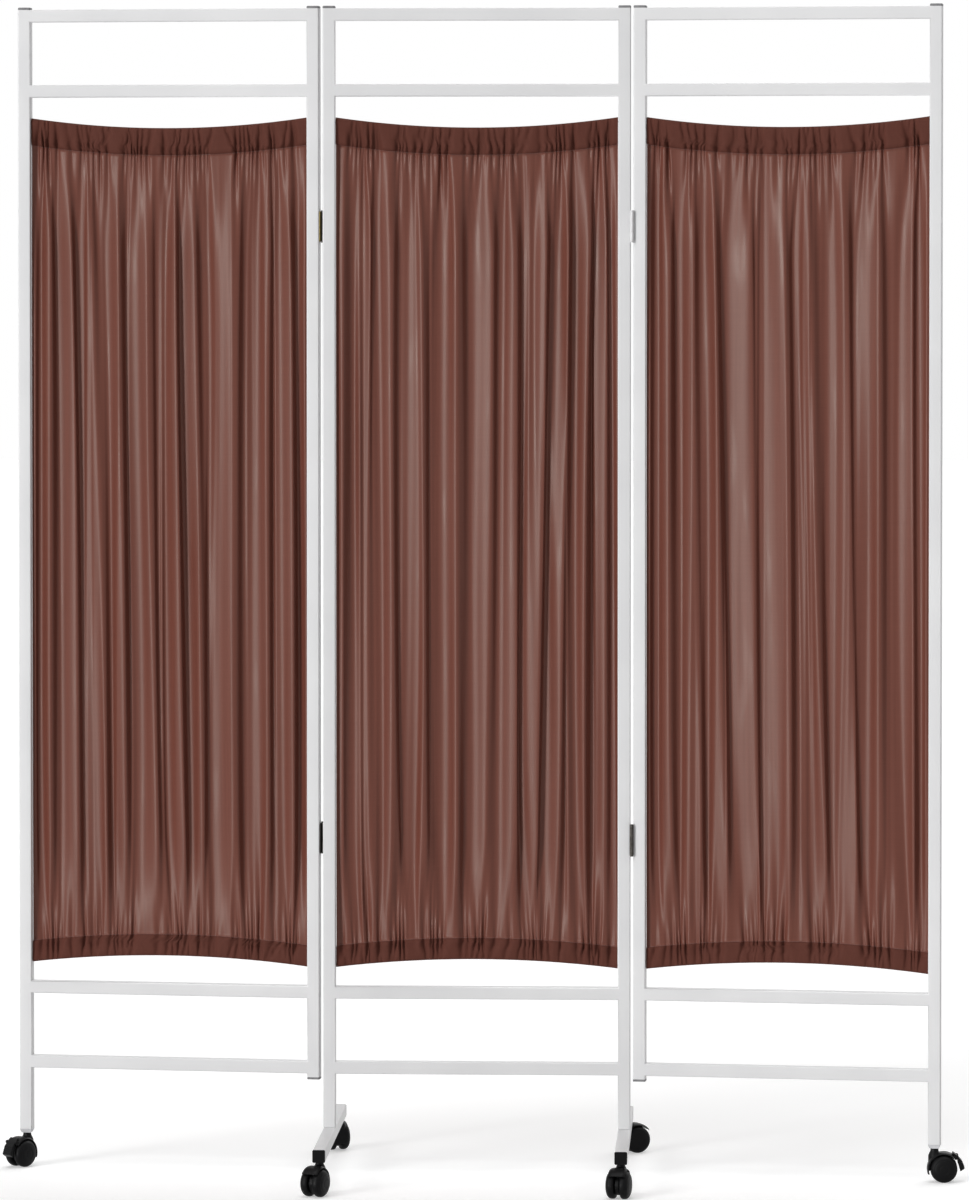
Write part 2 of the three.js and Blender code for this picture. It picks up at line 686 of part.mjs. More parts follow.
// A seam: the hinge pins' axis, the fixed hinge leaves and pins on it, and the turned outer leaf beside it.
// The left seam folds backwards. The right seam is the same seam turned half round, so it folds forwards.
function seam(side, way) {
  const group = new THREE.Group();
  group.position.set(-way * (leafWidth + seamGap) / 2, way * pinOffset, 0);
  const turned = new THREE.Group();
  turned.rotation.z = radians(-restFoldDegrees);
  const outer = outerLeaf(side, way);
  outer.position.set(-way * (leafWidth + seamGap) / 2, -way * pinOffset, 0);
  turned.add(outer);
  const spans = knuckleSpans();
  for (const [level, height] of [['upper', upperHingeHeight], ['lower', lowerHingeHeight]]) {
    const name = `hinge_${side}_${level}`;
    const [fixedFinish, movingFinish] = hingeFinishes[side][level];
    const fixed = hingeLeaf(`${name}_fixed`, 1, spans.fixed, fixedFinish);
    const moving = hingeLeaf(`${name}_moving`, -1, spans.moving, movingFinish);
    const pin = hingePin(`${name}_pin`, fixedFinish);
    for (const piece of [fixed, moving, pin]) {
      piece.position.z = height;
      piece.rotation.z = way > 0 ? 0 : Math.PI;
    }
    group.add(fixed, pin);
    turned.add(moving);
  }
  group.add(turned);
  return group;
}

const screen = new THREE.Group();
screen.add(middleLeaf(), seam('left', 1), seam('right', -1));

export default screen;
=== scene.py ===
"""Ward privacy screen on wheels: its looks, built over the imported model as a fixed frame.

Lengths are in metres.
"""
import json
import math

import bpy
import numpy as np
from mathutils import Matrix, Vector


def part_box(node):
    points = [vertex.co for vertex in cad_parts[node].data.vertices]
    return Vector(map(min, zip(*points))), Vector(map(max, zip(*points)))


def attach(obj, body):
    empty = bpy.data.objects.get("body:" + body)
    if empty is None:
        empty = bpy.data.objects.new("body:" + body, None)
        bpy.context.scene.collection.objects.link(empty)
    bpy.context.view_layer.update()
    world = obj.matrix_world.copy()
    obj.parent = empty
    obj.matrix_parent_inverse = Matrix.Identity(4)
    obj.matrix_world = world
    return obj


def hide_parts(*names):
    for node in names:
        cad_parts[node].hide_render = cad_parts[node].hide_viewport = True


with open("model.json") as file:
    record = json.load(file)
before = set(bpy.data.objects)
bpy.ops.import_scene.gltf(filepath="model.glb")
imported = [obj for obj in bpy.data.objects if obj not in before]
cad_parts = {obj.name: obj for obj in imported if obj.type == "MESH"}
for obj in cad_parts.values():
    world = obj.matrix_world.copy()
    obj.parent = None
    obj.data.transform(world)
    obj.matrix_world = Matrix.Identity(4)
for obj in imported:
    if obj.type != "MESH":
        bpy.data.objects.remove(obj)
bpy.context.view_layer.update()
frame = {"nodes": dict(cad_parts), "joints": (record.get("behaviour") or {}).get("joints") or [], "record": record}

MM = 0.001
SIDES = ("left", "middle", "right")
JOINTS = {joint["name"]: joint for joint in frame["joints"]}

# Camera, from a fit to the rail and post edges in the photograph
PHOTO_HEIGHT = 1200
CAMERA_PLACE = (0.4149, -9.1987, 1.4207)
CAMERA_TURN = 0.0438
CAMERA_TILT = 0.0262
FOCAL_PIXELS = 6062.5
SHIFT_Y = -1 / 6
SENSOR_MM = 36

# Light
AMBIENT = 0.15
# Lamps as (name, degrees to the left of the camera side, degrees above the floor, strength, degrees across)
SUNS = (
    ("key", 45, 33, 0.74, 20),
    ("low_key", 42, 4, 1.7, 9),
    ("overhead", 20, 78, 0.9, 40),
    ("back", 205, 48, 1.15, 50),
)
FLOOR_SIZE = 60
FLOOR_COLOUR = (0.8, 0.8, 0.8, 1)
FLOOR_GLOW = 0.38

# Sizes shared with the CAD model
TUBE = 19 * MM
WALL = 1.2 * MM
TOP_SAG = 15.5 * MM
BOTTOM_RISE = 13 * MM
TOP_HEM = 40 * MM
BOTTOM_HEM = 33 * MM
WIRE_RADIUS = 1.3 * MM
WIRE_INSET = 5 * MM
WIRE_REACH = 5 * MM
WIRE_HOOK = 8 * MM
CASTER_HEIGHT = 51 * MM
WHEEL_RADIUS = 21 * MM
WHEEL_WIDTH = 15.2 * MM
WHEEL_INNER = 3.5 * MM
HOOD_RADIUS = 25.5 * MM
HOOD_WALL = 1.8 * MM
HOOD_HALF_WIDTH = 13.5 * MM
HOOD_FRONT_DEGREES = 200
HOOD_REAR_DEGREES = 38
WEB_HALF = 3 * MM
WEB_RADIUS = 15 * MM
STEM_RADIUS = 4 * MM
AXLE_RADIUS = 2.5 * MM
PEDAL_HALF_WIDTH = 8.5 * MM
PEDAL_THICKNESS = 2.6 * MM
PEDAL_LIFT = 0.5 * MM
PEDAL_PIVOT_RADIUS = 1.1 * MM
PEDAL_PIVOT_DEGREES = 44
PEDAL_TIP_REACH = 6 * MM
PEDAL_SHOE_GAP = 2 * MM
PEDAL_HEEL_GAP = 4.2 * MM
PEDAL_EAR = 2 * MM
PEDAL_EAR_MARGIN = 1.7 * MM
RUN_GAP = 0.5 * MM


# Mesh building

def link_piece(name, mesh, material, smooth=True):
    piece = bpy.data.objects.new(name, mesh)
    bpy.context.scene.collection.objects.link(piece)
    mesh.materials.clear()
    mesh.materials.append(material)
    mesh.polygons.foreach_set("use_smooth", [smooth] * len(mesh.polygons))
    return piece


def mesh_of(name, points, faces):
    mesh = bpy.data.meshes.new(name)
    mesh.from_pydata([tuple(p) for p in points], [], faces)
    mesh.update()
    return mesh


def combined(parts):
    """Several (points, faces) parts as one."""
    points, faces = [], []
    for part_points, part_faces in parts:
        offset = len(points)
        points.extend(part_points)
        faces.extend([tuple(i + offset for i in face) for face in part_faces])
    return points, faces


def loft(sections):
    """A closed skin over sections that are rings with the same number of points, with flat ends."""
    across = len(sections[0])
    points = [p for section in sections for p in section]
    faces = []
    for row in range(len(sections) - 1):
        for i in range(across):
            j = (i + 1) % across
            a, b = row * across + i, row * across + j
            faces.append((a, b, b + across, a + across))
    faces.append(tuple(range(across))[::-1])
    faces.append(tuple(range(len(points) - across, len(points))))
    return points, faces


def tube(path, radius, sides=12):
    """A round tube along a list of points. The radius is one number or a list of them."""
    path = [Vector(p) for p in path]
    radii = radius if hasattr(radius, "__len__") else [radius] * len(path)
    turns = [2 * math.pi * k / sides for k in range(sides)]
    sections = []
    side = None
    for i, place in enumerate(path):
        along = (path[min(i + 1, len(path) - 1)] - path[max(i - 1, 0)]).normalized()
        if side is None:
            side = along.orthogonal().normalized()
        side = (side - along * side.dot(along)).normalized()
        other = along.cross(side)
        sections.append([place + (side * math.cos(t) + other * math.sin(t)) * radii[i] for t in turns])
    return loft(sections)


def revolved(outline, steps, axis="Y"):
    """Points (distance along the axis, radius) turned round Y or Z. Radius 0 closes an end."""
    points, faces, rings = [], [], []
    for along, radius in outline:
        if radius == 0:
            rings.append([len(points)])
            points.append((0, along, 0) if axis == "Y" else (0, 0, along))
            continue
        rings.append(list(range(len(points), len(points) + steps)))
        for k in range(steps):
            t = 2 * math.pi * k / steps
            c, s = radius * math.cos(t), radius * math.sin(t)
            points.append((s, along, c) if axis == "Y" else (c, s, along))
    for low, high in zip(rings, rings[1:]):
        for k in range(steps):
            n = (k + 1) % steps
            if len(low) == 1:
                faces.append((low[0], high[n], high[k]))
            elif len(high) == 1:
                faces.append((low[k], low[n], high[0]))
            else:
                faces.append((low[k], low[n], high[n], high[k]))
    return points, faces


def prism(outline, low, high):
    """An outline in X and Z, extruded along Y."""
    return loft([[(x, y, z) for x, z in outline] for y in (low, high)])


def moved(part, offset):
    points, faces = part
    shift = Vector(offset)
    return [Vector(p) + shift for p in points], faces


# How far one smoothing pass moves a point towards its neighbours
SOFTENING = 0.5


def moulded(name, parts, voxel, passes):
    """Overlapping parts as one skin with soft inner corners, as moulded plastic has."""
    rough = bpy.data.objects.new(name, mesh_of(name, *combined(parts)))
    bpy.context.scene.collection.objects.link(rough)
    remesh = rough.modifiers.new("skin", "REMESH")
    remesh.mode = "VOXEL"
    remesh.voxel_size = voxel
    soften = rough.modifiers.new("soften", "SMOOTH")
    soften.factor = SOFTENING
    soften.iterations = passes
    evaluated = rough.evaluated_get(bpy.context.evaluated_depsgraph_get())
    mesh = bpy.data.meshes.new_from_object(evaluated)
    mesh.name = name
    bpy.data.objects.remove(rough)
    return mesh


# Materials

# Colours are linear red, green and blue. A pair holds the two that a finish varies between.
COAT_COLOURS = ((0.66, 0.66, 0.667), (0.695, 0.695, 0.70))
CLOTH_COLOURS = ((0.141, 0.044, 0.03), (0.151, 0.048, 0.033))
STREAK_COLOUR = (0.1, 0.031, 0.021)
# Painted shade in the gaps between the threads
WEAVE_GAP_PAINTED_SHADE = (0.06, 0.018, 0.012)
# Painted shade: the doubled hems are darkened towards this colour, in place of the light that the single cloth
# lets through
HEM_PAINTED_SHADE_COLOUR = (0.035, 0.004, 0.001)
SHEEN_TINT = (1, 0.97, 0.9)
THREAD_COLOURS = ((0.09, 0.036, 0.03), (0.16, 0.07, 0.06))
NYLON_COLOURS = ((0.003, 0.003, 0.0033), (0.018, 0.018, 0.018))
TREAD_COLOURS = ((0.0025, 0.0025, 0.0028), (0.015, 0.015, 0.015))
GREY_COLOURS = ((0.13, 0.13, 0.135), (0.2, 0.2, 0.205))
PALE_COLOURS = ((0.58, 0.58, 0.6), (0.66, 0.66, 0.68))
WIRE_COLOURS = ((0.6, 0.61, 0.62), (0.4, 0.4, 0.41))
STEEL_COLOURS = ((0.07, 0.066, 0.06), (0.03, 0.028, 0.026))
BRASS_COLOURS = ((0.42, 0.33, 0.13), (0.2, 0.15, 0.06))
# Noise scales are per metre. Three values are one for each direction.
TONE_SCALE = 9
PEEL_SCALE = 620
WEAVE_SCALE = 330
SLUB_SCALES = (14, 420, 1)
STREAK_SCALES = (230, 3, 1)
GLOSS_SCALES = (50, 6, 1)
TWIST_SCALE = 1500
DUST_SCALE = 160
WEAR_SCALE = 240
NYLON_GRAIN_SCALE = 900
TREAD_GRAIN_SCALE = 700
PLASTIC_TONE_SCALE = 130
PLASTIC_GRAIN_SCALE = 1100
METAL_LINE_SCALES = (1400, 1400, 60)
METAL_PATCH_SCALE = 220
# Heights of the bumps
PEEL_HEIGHT = 0.08 * MM
WEAVE_HEIGHT = 0.1 * MM
SLUB_HEIGHT = 0.25 * MM
STREAK_HEIGHT = 1.2 * MM
BLACK_GRAIN_HEIGHT = 0.08 * MM
PLAIN_GRAIN_HEIGHT = 0.06 * MM
LINE_HEIGHT = 0.05 * MM
# Sockets of the Mix node that hold its factor and its two colours, and the one that holds the result
MIX_INPUTS = (0, 6, 7)
MIX_RESULT = 2


def node(tree, kind, settings=None, inputs=None):
    """A shader node. An input is a number, a colour or another node's output."""
    made = tree.nodes.new(kind)
    for key, value in (settings or {}).items():
        setattr(made, key, value)
    for key, value in (inputs or {}).items():
        if isinstance(value, bpy.types.NodeSocket):
            tree.links.new(value, made.inputs[key])
        else:
            made.inputs[key].default_value = value
    return made


def new_material(name, **constants):
    material = bpy.data.materials.new(name)
    material.use_nodes = True
    tree = material.node_tree
    shader = tree.nodes["Principled BSDF"]
    for key, value in constants.items():
        shader.inputs[key.replace("_", " ")].default_value = value
    return material, tree, shader


def feed(tree, shader, **outputs):
    """Links outputs to the shader's sockets, whose names have underscores here."""
    for key, output in outputs.items():
        tree.links.new(output, shader.inputs[key.replace("_", " ")])


def object_place(tree):
    return node(tree, "ShaderNodeTexCoord").outputs["Object"]


def stretched(tree, place, scale):
    return node(tree, "ShaderNodeMapping", inputs={"Vector": place, "Scale": scale}).outputs["Vector"]


def noise(tree, place, scale, detail=2.0, rough=0.5):
    inputs = {"Vector": place, "Scale": scale, "Detail": detail, "Roughness": rough}
    return node(tree, "ShaderNodeTexNoise", inputs=inputs).outputs["Fac"]


def math_node(tree, operation, a, b):
    return node(tree, "ShaderNodeMath", {"operation": operation}, {0: a, 1: b}).outputs[0]


def ranged(tree, value, low, high, to_low, to_high):
    inputs = {"Value": value, "From Min": low, "From Max": high, "To Min": to_low, "To Max": to_high}
    return node(tree, "ShaderNodeMapRange", inputs=inputs).outputs["Result"]


def mixed(tree, factor, a, b):
    """Two colours mixed. Each is three linear values or another node's output."""
    colours = [opaque(colour) if isinstance(colour, tuple) else colour for colour in (a, b)]
    inputs = dict(zip(MIX_INPUTS, (factor, *colours)))
    return node(tree, "ShaderNodeMix", {"data_type": "RGBA"}, inputs).outputs[MIX_RESULT]


def bumped(tree, height, strength, distance, below=None):
    inputs = {"Height": height, "Strength": strength, "Distance": distance}
    if below is not None:
        inputs["Normal"] = below
    return node(tree, "ShaderNodeBump", inputs=inputs).outputs["Normal"]


def opaque(colour):
    return (*colour, 1.0)


def powder_coat():
    """Satin white powder coat: fine orange peel and a faint uneven tone."""
    material, tree, shader = new_material("powder_coat", IOR=1.5)
    place = object_place(tree)
    tone = ranged(tree, noise(tree, place, TONE_SCALE), 0.35, 0.65, 0, 1)
    peel = noise(tree, place, PEEL_SCALE, 3)
    feed(
        tree, shader, Base_Color=mixed(tree, tone, *COAT_COLOURS),
        Roughness=ranged(tree, peel, 0.3, 0.7, 0.3, 0.4), Normal=bumped(tree, peel, 0.25, PEEL_HEIGHT),
    )
    return material


def cloth_finish():
    """Brown satin-faced polyester: threads both ways, slubs along the weft, and painted shade on the doubled hems.
    """
    tint = opaque(SHEEN_TINT)
    material, tree, shader = new_material("curtain_cloth", Specular_IOR_Level=0.27, Specular_Tint=tint)
    place = node(tree, "ShaderNodeAttribute", {"attribute_name": "cloth_place"}).outputs["Vector"]
    doubled = node(tree, "ShaderNodeAttribute", {"attribute_name": "doubled"}).outputs["Fac"]
    inputs = {"Vector": place, "Scale": WEAVE_SCALE, "Distortion": 0.6, "Detail": 1.0, "Detail Scale": 0.4}
    threads = []
    for direction in ("X", "Y"):
        settings = {"wave_type": "BANDS", "bands_direction": direction}
        threads.append(node(tree, "ShaderNodeTexWave", settings, inputs).outputs["Fac"])
    weave = math_node(tree, "MAXIMUM", *threads)
    slub = noise(tree, stretched(tree, place, SLUB_SCALES), 1.0, 3)
    streak = noise(tree, stretched(tree, place, STREAK_SCALES), 1.0, 3)
    base = mixed(tree, ranged(tree, slub, 0.3, 0.7, 0, 1), *CLOTH_COLOURS)
    streaked = mixed(tree, ranged(tree, streak, 0.35, 0.7, 0, 0.4), base, STREAK_COLOUR)
    # Painted shade in the weave's gaps, where neither thread lies
    woven = mixed(tree, ranged(tree, weave, 0, 1, 0.25, 0), streaked, WEAVE_GAP_PAINTED_SHADE)
    # Painted shade on the hems, mixed in where the cloth is doubled
    hem = mixed(tree, 0.5, woven, HEM_PAINTED_SHADE_COLOUR)
    gloss = noise(tree, stretched(tree, place, GLOSS_SCALES), 1.0, 1)
    worn = ranged(tree, gloss, 0.6, 0.7, 0.4, 0.33)
    wrinkle = bumped(tree, streak, 0.07, STREAK_HEIGHT)
    fine = bumped(tree, weave, 0.25, WEAVE_HEIGHT, wrinkle)
    feed(
        tree, shader, Base_Color=mixed(tree, doubled, woven, hem),
        Roughness=math_node(tree, "MAXIMUM", worn, math_node(tree, "MULTIPLY", doubled, 0.8)),
        Normal=bumped(tree, slub, 0.1, SLUB_HEIGHT, fine),
    )
    return material


def thread_finish():
    material, tree, shader = new_material("sewing_thread", Roughness=0.7, Sheen_Weight=0.2)
    twist = noise(tree, object_place(tree), TWIST_SCALE, 2)
    feed(tree, shader, Base_Color=mixed(tree, twist, *THREAD_COLOURS))
    return material


def black_plastic(name, colours, roughness, grain_scale):
    """Moulded black plastic with fine grain and a little pale dust on what faces up."""
    material, tree, shader = new_material(name, Specular_IOR_Level=0.1)
    place = object_place(tree)
    normal = node(tree, "ShaderNodeNewGeometry").outputs["Normal"]
    up = node(tree, "ShaderNodeSeparateXYZ", inputs={"Vector": normal}).outputs["Z"]
    patches = ranged(tree, noise(tree, place, DUST_SCALE, 4), 0.4, 0.75, 0, 1)
    dust = math_node(tree, "MULTIPLY", ranged(tree, up, 0.2, 1, 0, 0.5), patches)
    feed(
        tree, shader, Base_Color=mixed(tree, dust, *colours),
        Roughness=ranged(tree, noise(tree, place, WEAR_SCALE, 3), 0.3, 0.7, *roughness),
        Normal=bumped(tree, noise(tree, place, grain_scale, 3), 0.3, BLACK_GRAIN_HEIGHT),
    )
    return material


def plain_plastic(name, colours, roughness):
    material, tree, shader = new_material(name, Roughness=roughness, IOR=1.5)
    place = object_place(tree)
    tone = ranged(tree, noise(tree, place, PLASTIC_TONE_SCALE, 3), 0.3, 0.7, 0, 1)
    grain = noise(tree, place, PLASTIC_GRAIN_SCALE, 2)
    feed(
        tree, shader, Base_Color=mixed(tree, tone, *colours),
        Normal=bumped(tree, grain, 0.2, PLAIN_GRAIN_HEIGHT),
    )
    return material


def metal(name, colours, roughness):
    """Bare metal with fine lines along Z and darker worn patches."""
    material, tree, shader = new_material(name, Metallic=1.0)
    place = object_place(tree)
    lines = noise(tree, stretched(tree, place, METAL_LINE_SCALES), 1.0, 2)
    patches = ranged(tree, noise(tree, place, METAL_PATCH_SCALE, 4), 0.45, 0.7, 0, 1)
    feed(
        tree, shader, Base_Color=mixed(tree, patches, *colours),
        Roughness=ranged(tree, lines, 0.3, 0.7, *roughness), Normal=bumped(tree, lines, 0.2, LINE_HEIGHT),
    )
    return material


FINISHES = {
    "white_paint": powder_coat(),
    "curtain_cloth": cloth_finish(),
    "black_nylon": black_plastic("black_nylon", NYLON_COLOURS, (0.32, 0.48), NYLON_GRAIN_SCALE),
    "black_tread": black_plastic("black_tread", TREAD_COLOURS, (0.4, 0.55), TREAD_GRAIN_SCALE),
    "grey_plastic": plain_plastic("grey_plastic", GREY_COLOURS, 0.5),
    "pale_plastic": plain_plastic("pale_plastic", PALE_COLOURS, 0.45),
    "hem_wire": metal("hem_wire", WIRE_COLOURS, (0.25, 0.4)),
    "hinge_steel": metal("hinge_steel", STEEL_COLOURS, (0.35, 0.5)),
    "hinge_brass": metal("hinge_brass", BRASS_COLOURS, (0.3, 0.45)),
    "sewing_thread": thread_finish(),
}


# The CAD nodes that stay

WELD_DISTANCE = 0.001 * MM
SHARP_DEGREES = 60


def smooth_edges(piece):
    """Large faces stay flat and the small facets at their edges shade as round."""
    mesh = piece.data
    if "custom_normal" in mesh.attributes:
        mesh.attributes.remove(mesh.attributes["custom_normal"])
    mesh.polygons.foreach_set("use_smooth", [True] * len(mesh.polygons))
    weld = piece.modifiers.new("weld", "WELD")
    weld.merge_threshold = WELD_DISTANCE
    split = piece.modifiers.new("split", "EDGE_SPLIT")
    split.split_angle = math.radians(SHARP_DEGREES)
    piece.modifiers.new("weighted", "WEIGHTED_NORMAL")


def finish_nodes():
    """Gives every CAD node the finish of its slot in the record."""
    slots = {row["node"]: row["material_slot"] for row in frame["record"]["subparts"]}
    for name, piece in frame["nodes"].items():
        piece.data.materials.clear()
        piece.data.materials.append(FINISHES[slots[name]])
        smooth_edges(piece)


# Where things are, from the frame

def middle_of(name):
    low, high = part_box(name)
    return (low + high) / 2


def leaf_place(side):
    """A leaf's own frame, its origin on the floor between its posts, and half the posts' spacing."""
    a, b = middle_of(f"top_cap_{side}_a"), middle_of(f"top_cap_{side}_b")
    along = (b - a).normalized()
    turn = math.atan2(along.y, along.x)
    centre = (a + b) / 2
    place = Matrix.Translation((centre.x, centre.y, 0)) @ Matrix.Rotation(turn, 4, "Z")
    return place, (b - a).length / 2


# Curtains

# The cloth stays this far inside the CAD curtain's sides
SIDE_CLEARANCE = 0.4 * MM
CURTAIN_LOW, CURTAIN_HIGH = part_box("curtain_middle")
CURTAIN_TOP, CURTAIN_BOTTOM = CURTAIN_HIGH.z, CURTAIN_LOW.z
CURTAIN_HALF = CURTAIN_HIGH.x - SIDE_CLEARANCE
FLAT_WIDTH = 0.52
CLOTH_THICKNESS = 0.5 * MM
SAMPLES = 1800
COLUMNS = 440
BODY_ROWS = 76
HEM_ROWS = 9
BACK_ROWS = 4
ROUND_ROWS = 6
# Rows close up towards the hems, by this share
ROW_BUNCHING = 0.75
# Where a hem's free edge on the back lies, as a share of the way from the stitches to the wire
FREE_EDGE_SHARE = 0.04
SEEDS = {"left": 11, "middle": 23, "right": 37}
# Main valleys: shares of the width at the top, halfway and at the bottom, and of the full depth at both ends
VALLEY_SHARES = {
    "left": (
        (0.02, 0.02, 0.015, 0.6, 0.6), (0.09, 0.1, 0.105, 0.6, 0.35), (0.145, 0.18, 0.19, 0.6, 0.45),
        (0.25, 0.275, 0.3, 0.85, 0.85), (0.345, 0.36, 0.385, 0.8, 0.75), (0.465, 0.47, 0.5, 0.85, 0.85),
        (0.525, 0.55, 0.575, 0.7, 0.6), (0.62, 0.64, 0.66, 0.75, 0.85), (0.8, 0.78, 0.775, 0.85, 0.8),
        (0.89, 0.885, 0.89, 0.45, 0.4), (0.955, 0.965, 0.975, 0.8, 0.85),
    ),
    "middle": (
        (0.065, 0.055, 0.04, 0.55, 0.45), (0.14, 0.135, 0.16, 0.6, 0.15), (0.23, 0.228, 0.255, 1, 0.95),
        (0.37, 0.36, 0.37, 0.95, 0.85), (0.468, 0.475, 0.46, 0.85, 0.85), (0.587, 0.58, 0.57, 0.55, 0.3),
        (0.665, 0.655, 0.645, 1, 0.85), (0.785, 0.755, 0.725, 0.85, 0.85), (0.85, 0.83, 0.825, 0.65, 0.2),
        (0.915, 0.905, 0.9, 0.75, 0.8), (0.972, 0.978, 0.985, 0.7, 0.8),
    ),
    "right": (
        (0.02, 0.02, 0.025, 0.85, 0.8), (0.1, 0.108, 0.118, 0.85, 0.35), (0.187, 0.2, 0.225, 0.75, 0.85),
        (0.265, 0.295, 0.325, 0.95, 0.9), (0.407, 0.412, 0.417, 1, 0.9), (0.51, 0.545, 0.575, 0.9, 0.8),
        (0.622, 0.632, 0.68, 0.75, 0.75), (0.73, 0.752, 0.765, 0.9, 0.9), (0.895, 0.89, 0.915, 0.7, 0.5),
        (0.953, 0.96, 0.97, 0.65, 0.65),
    ),
}
VALLEY_DEPTH = 8.5 * MM
# How far to the right of its dark side a valley's bottom lies, as a share of the width
SHADE_SHARE = 0.003
# Where a ridge may lie between two main valleys, and its least and greatest height
RIDGE_PLACE_SHARES = (0.42, 0.6)
RIDGE_HEIGHTS = (3.5 * MM, 7.0 * MM)
# What is left of the main folds at a hem, and the length of their fade
MAIN_FADE = (0.12, 170 * MM)
# Other folds as (number, least depth, greatest depth, share left at a hem, length of the fade)
BROAD_FOLDS = (4, 2.0 * MM, 5.0 * MM, 0.1, 300 * MM)
SMALL_FOLDS = ((17, 1.4 * MM, 4.0 * MM, 0.35, 90 * MM), (31, 0.15 * MM, 0.6 * MM, 0.8, 40 * MM))
# Below 1, ridges are narrower than valleys
RIDGE_POWER = 0.88
# How uneven the widths of folds are, and how often and how far their depth swells along the length
FOLD_WIDTH_SPREAD = 0.42
SWELL_RATES = (0.4, 1.5)
SWELL_SHARE = 0.35
# Waves that move the folds' places or vary their lean: their number, and how many fit across and along
DRIFT_WAVES = (5, (0.6, 3.2), (0.2, 0.8))
DRIFT_SHARE = 0.0035
LEAN_WAVES = (4, (1.5, 6), (0.2, 0.9))
# How far ridges lean to the right, as a share of their depth, and how much that varies
TUMBLE = 0.6
SWING = 0.25
FOLD_LIMIT = 11.5 * MM
# At its side edges the cloth keeps its place, lies flatter and turns back
SIDE_HOLD_SHARE = 0.02
SIDE_CALM_SHARE = 0.015
SIDE_CALM_LEFT = 0.35
SIDE_TURN_SHARE = 0.022
SIDE_TURN_BACK = 2.2 * MM
# Gathers are places to which a hem draws the cloth
GATHERS = 7
GATHER_JITTER = 0.35
GATHER_WIDTH = 32 * MM
GATHER_PULL = 0.45
GATHER_REACH = 130 * MM
# Creases crowd to the nearest gather by at most this share
CREASES = 44
CREASE_JITTER = 0.4
CREASE_CROWDING = 0.4
CREASE_WIDTHS = (1.5 * MM, 3.2 * MM)
CREASE_DEPTHS = (2.2 * MM, 4.4 * MM)
CREASE_REACHES = (30 * MM, 200 * MM)
CREASE_LEAN = 0.16
# At this distance from the hem a crease is twice as wide
CREASE_SPREAD = 50 * MM
# Ruches are the creases on a hem: their width and depth at the stitches and at the wire, as shares
RUCHE_WIDTH_SHARES = (1.2, 1.0)
RUCHE_DEPTH_SHARES = (1.1, 0.85)
# What they have of their depth before the lip, and what they leave of a hem's puff at least
RUCHE_START_SHARE = 0.15
RUCHE_FLOOR = 0.3 * MM
# Half the depth of a hem at its stitches and past its lip, and what it has at the wire beyond the wire's room
HEM_START = 0.5 * MM
HEM_PUFF = 4.2 * MM
HEM_FULLNESS = 2.1 * MM
# The least room round the wire, and between a hem's side and its middle
HEM_GAP = 0.35 * MM
# Shares of the way from the stitches to the wire: the lip, and from where on a hem closes in and rests
HEM_LIP = 0.05
HEM_CLOSE_SHARE = 0.5
HEM_REST_SHARE = 0.6
# What a hem loses of its puff towards the wire, as a share
HEM_EASE = 0.25
# Each hem's height, how far its header stands past the wire, and which way is outwards
HEM_HEIGHTS = {"top": TOP_HEM, "bottom": BOTTOM_HEM}
HEADERS = {"top": 6.6 * MM, "bottom": 4.4 * MM}
OUTWARDS = {"top": 1, "bottom": -1}


def smoothstep(x):
    x = np.clip(x, 0, 1)
    return x * x * (3 - 2 * x)


def late(share, start):
    """0 up to the start and then a smooth rise to 1."""
    return smoothstep((share - start) / (1 - start))


def blend(ends, share):
    return ends[0] + (ends[1] - ends[0]) * share


def random_waves(rng, count, across, along):
    """Waves as (number across, number along, phase)."""
    return [(rng.uniform(*across), rng.uniform(*along), rng.uniform(0, 1)) for _ in range(count)]


def waving(waves, u, v):
    """The waves' sum at the shares u across, for one share v of the length."""
    total = 0
    for across, along, phase in waves:
        swing = math.sin(2 * math.pi * (along * v + phase))
        total = total + swing * np.sin(2 * math.pi * (across * u + phase))
    return total


def spread_out(rng, count, jitter):
    """Places across the curtain, one in each equal part of its width."""
    shares = (np.arange(count) + 0.5 + rng.uniform(-jitter, jitter, count)) / count
    return (2 * shares - 1) * CURTAIN_HALF


class Folds:
    """One level of folds: ridges and wider valleys in turn, at uneven places that wander along the length."""

    def __init__(self, rng, count, shallow, deep):
        ends = 2 * count + 1
        widths = np.exp(rng.normal(0, FOLD_WIDTH_SPREAD, 2 * count))
        self.places = np.concatenate([[0], np.cumsum(widths) / widths.sum()])
        self.valley = np.arange(ends) % 2 == 1
        self.heights = rng.uniform(shallow, deep, ends) * np.where(self.valley, 1, -1)
        self.rates = rng.uniform(*SWELL_RATES, ends)
        self.phases = rng.uniform(0, 1, ends)
        self.drift = random_waves(rng, *DRIFT_WAVES)

    def outline(self, v):
        """Places and heights of the ridges and valleys at one share v of the length."""
        wander = DRIFT_SHARE * waving(self.drift, self.places, v)
        places = self.places + wander * np.sin(math.pi * self.places)
        swell = 1 - SWELL_SHARE + SWELL_SHARE * np.sin(2 * math.pi * (self.rates * v + self.phases))
        return places, self.heights * swell

    def at(self, u, v):
        """Depth at the shares u across, for one share v of the length."""
        places, heights = self.outline(v)
        index = np.clip(np.searchsorted(places, u, side="right") - 1, 0, len(places) - 2)
        share = np.clip((u - places[index]) / (places[index + 1] - places[index]), 0, 1)
        from_ridge = np.where(self.valley[index], 1 - share, share)
        step = (1 - np.cos(math.pi * from_ridge ** RIDGE_POWER)) / 2
        ridge = np.where(self.valley[index], heights[index + 1], heights[index])
        valley = np.where(self.valley[index], heights[index], heights[index + 1])
        return ridge + (valley - ridge) * step


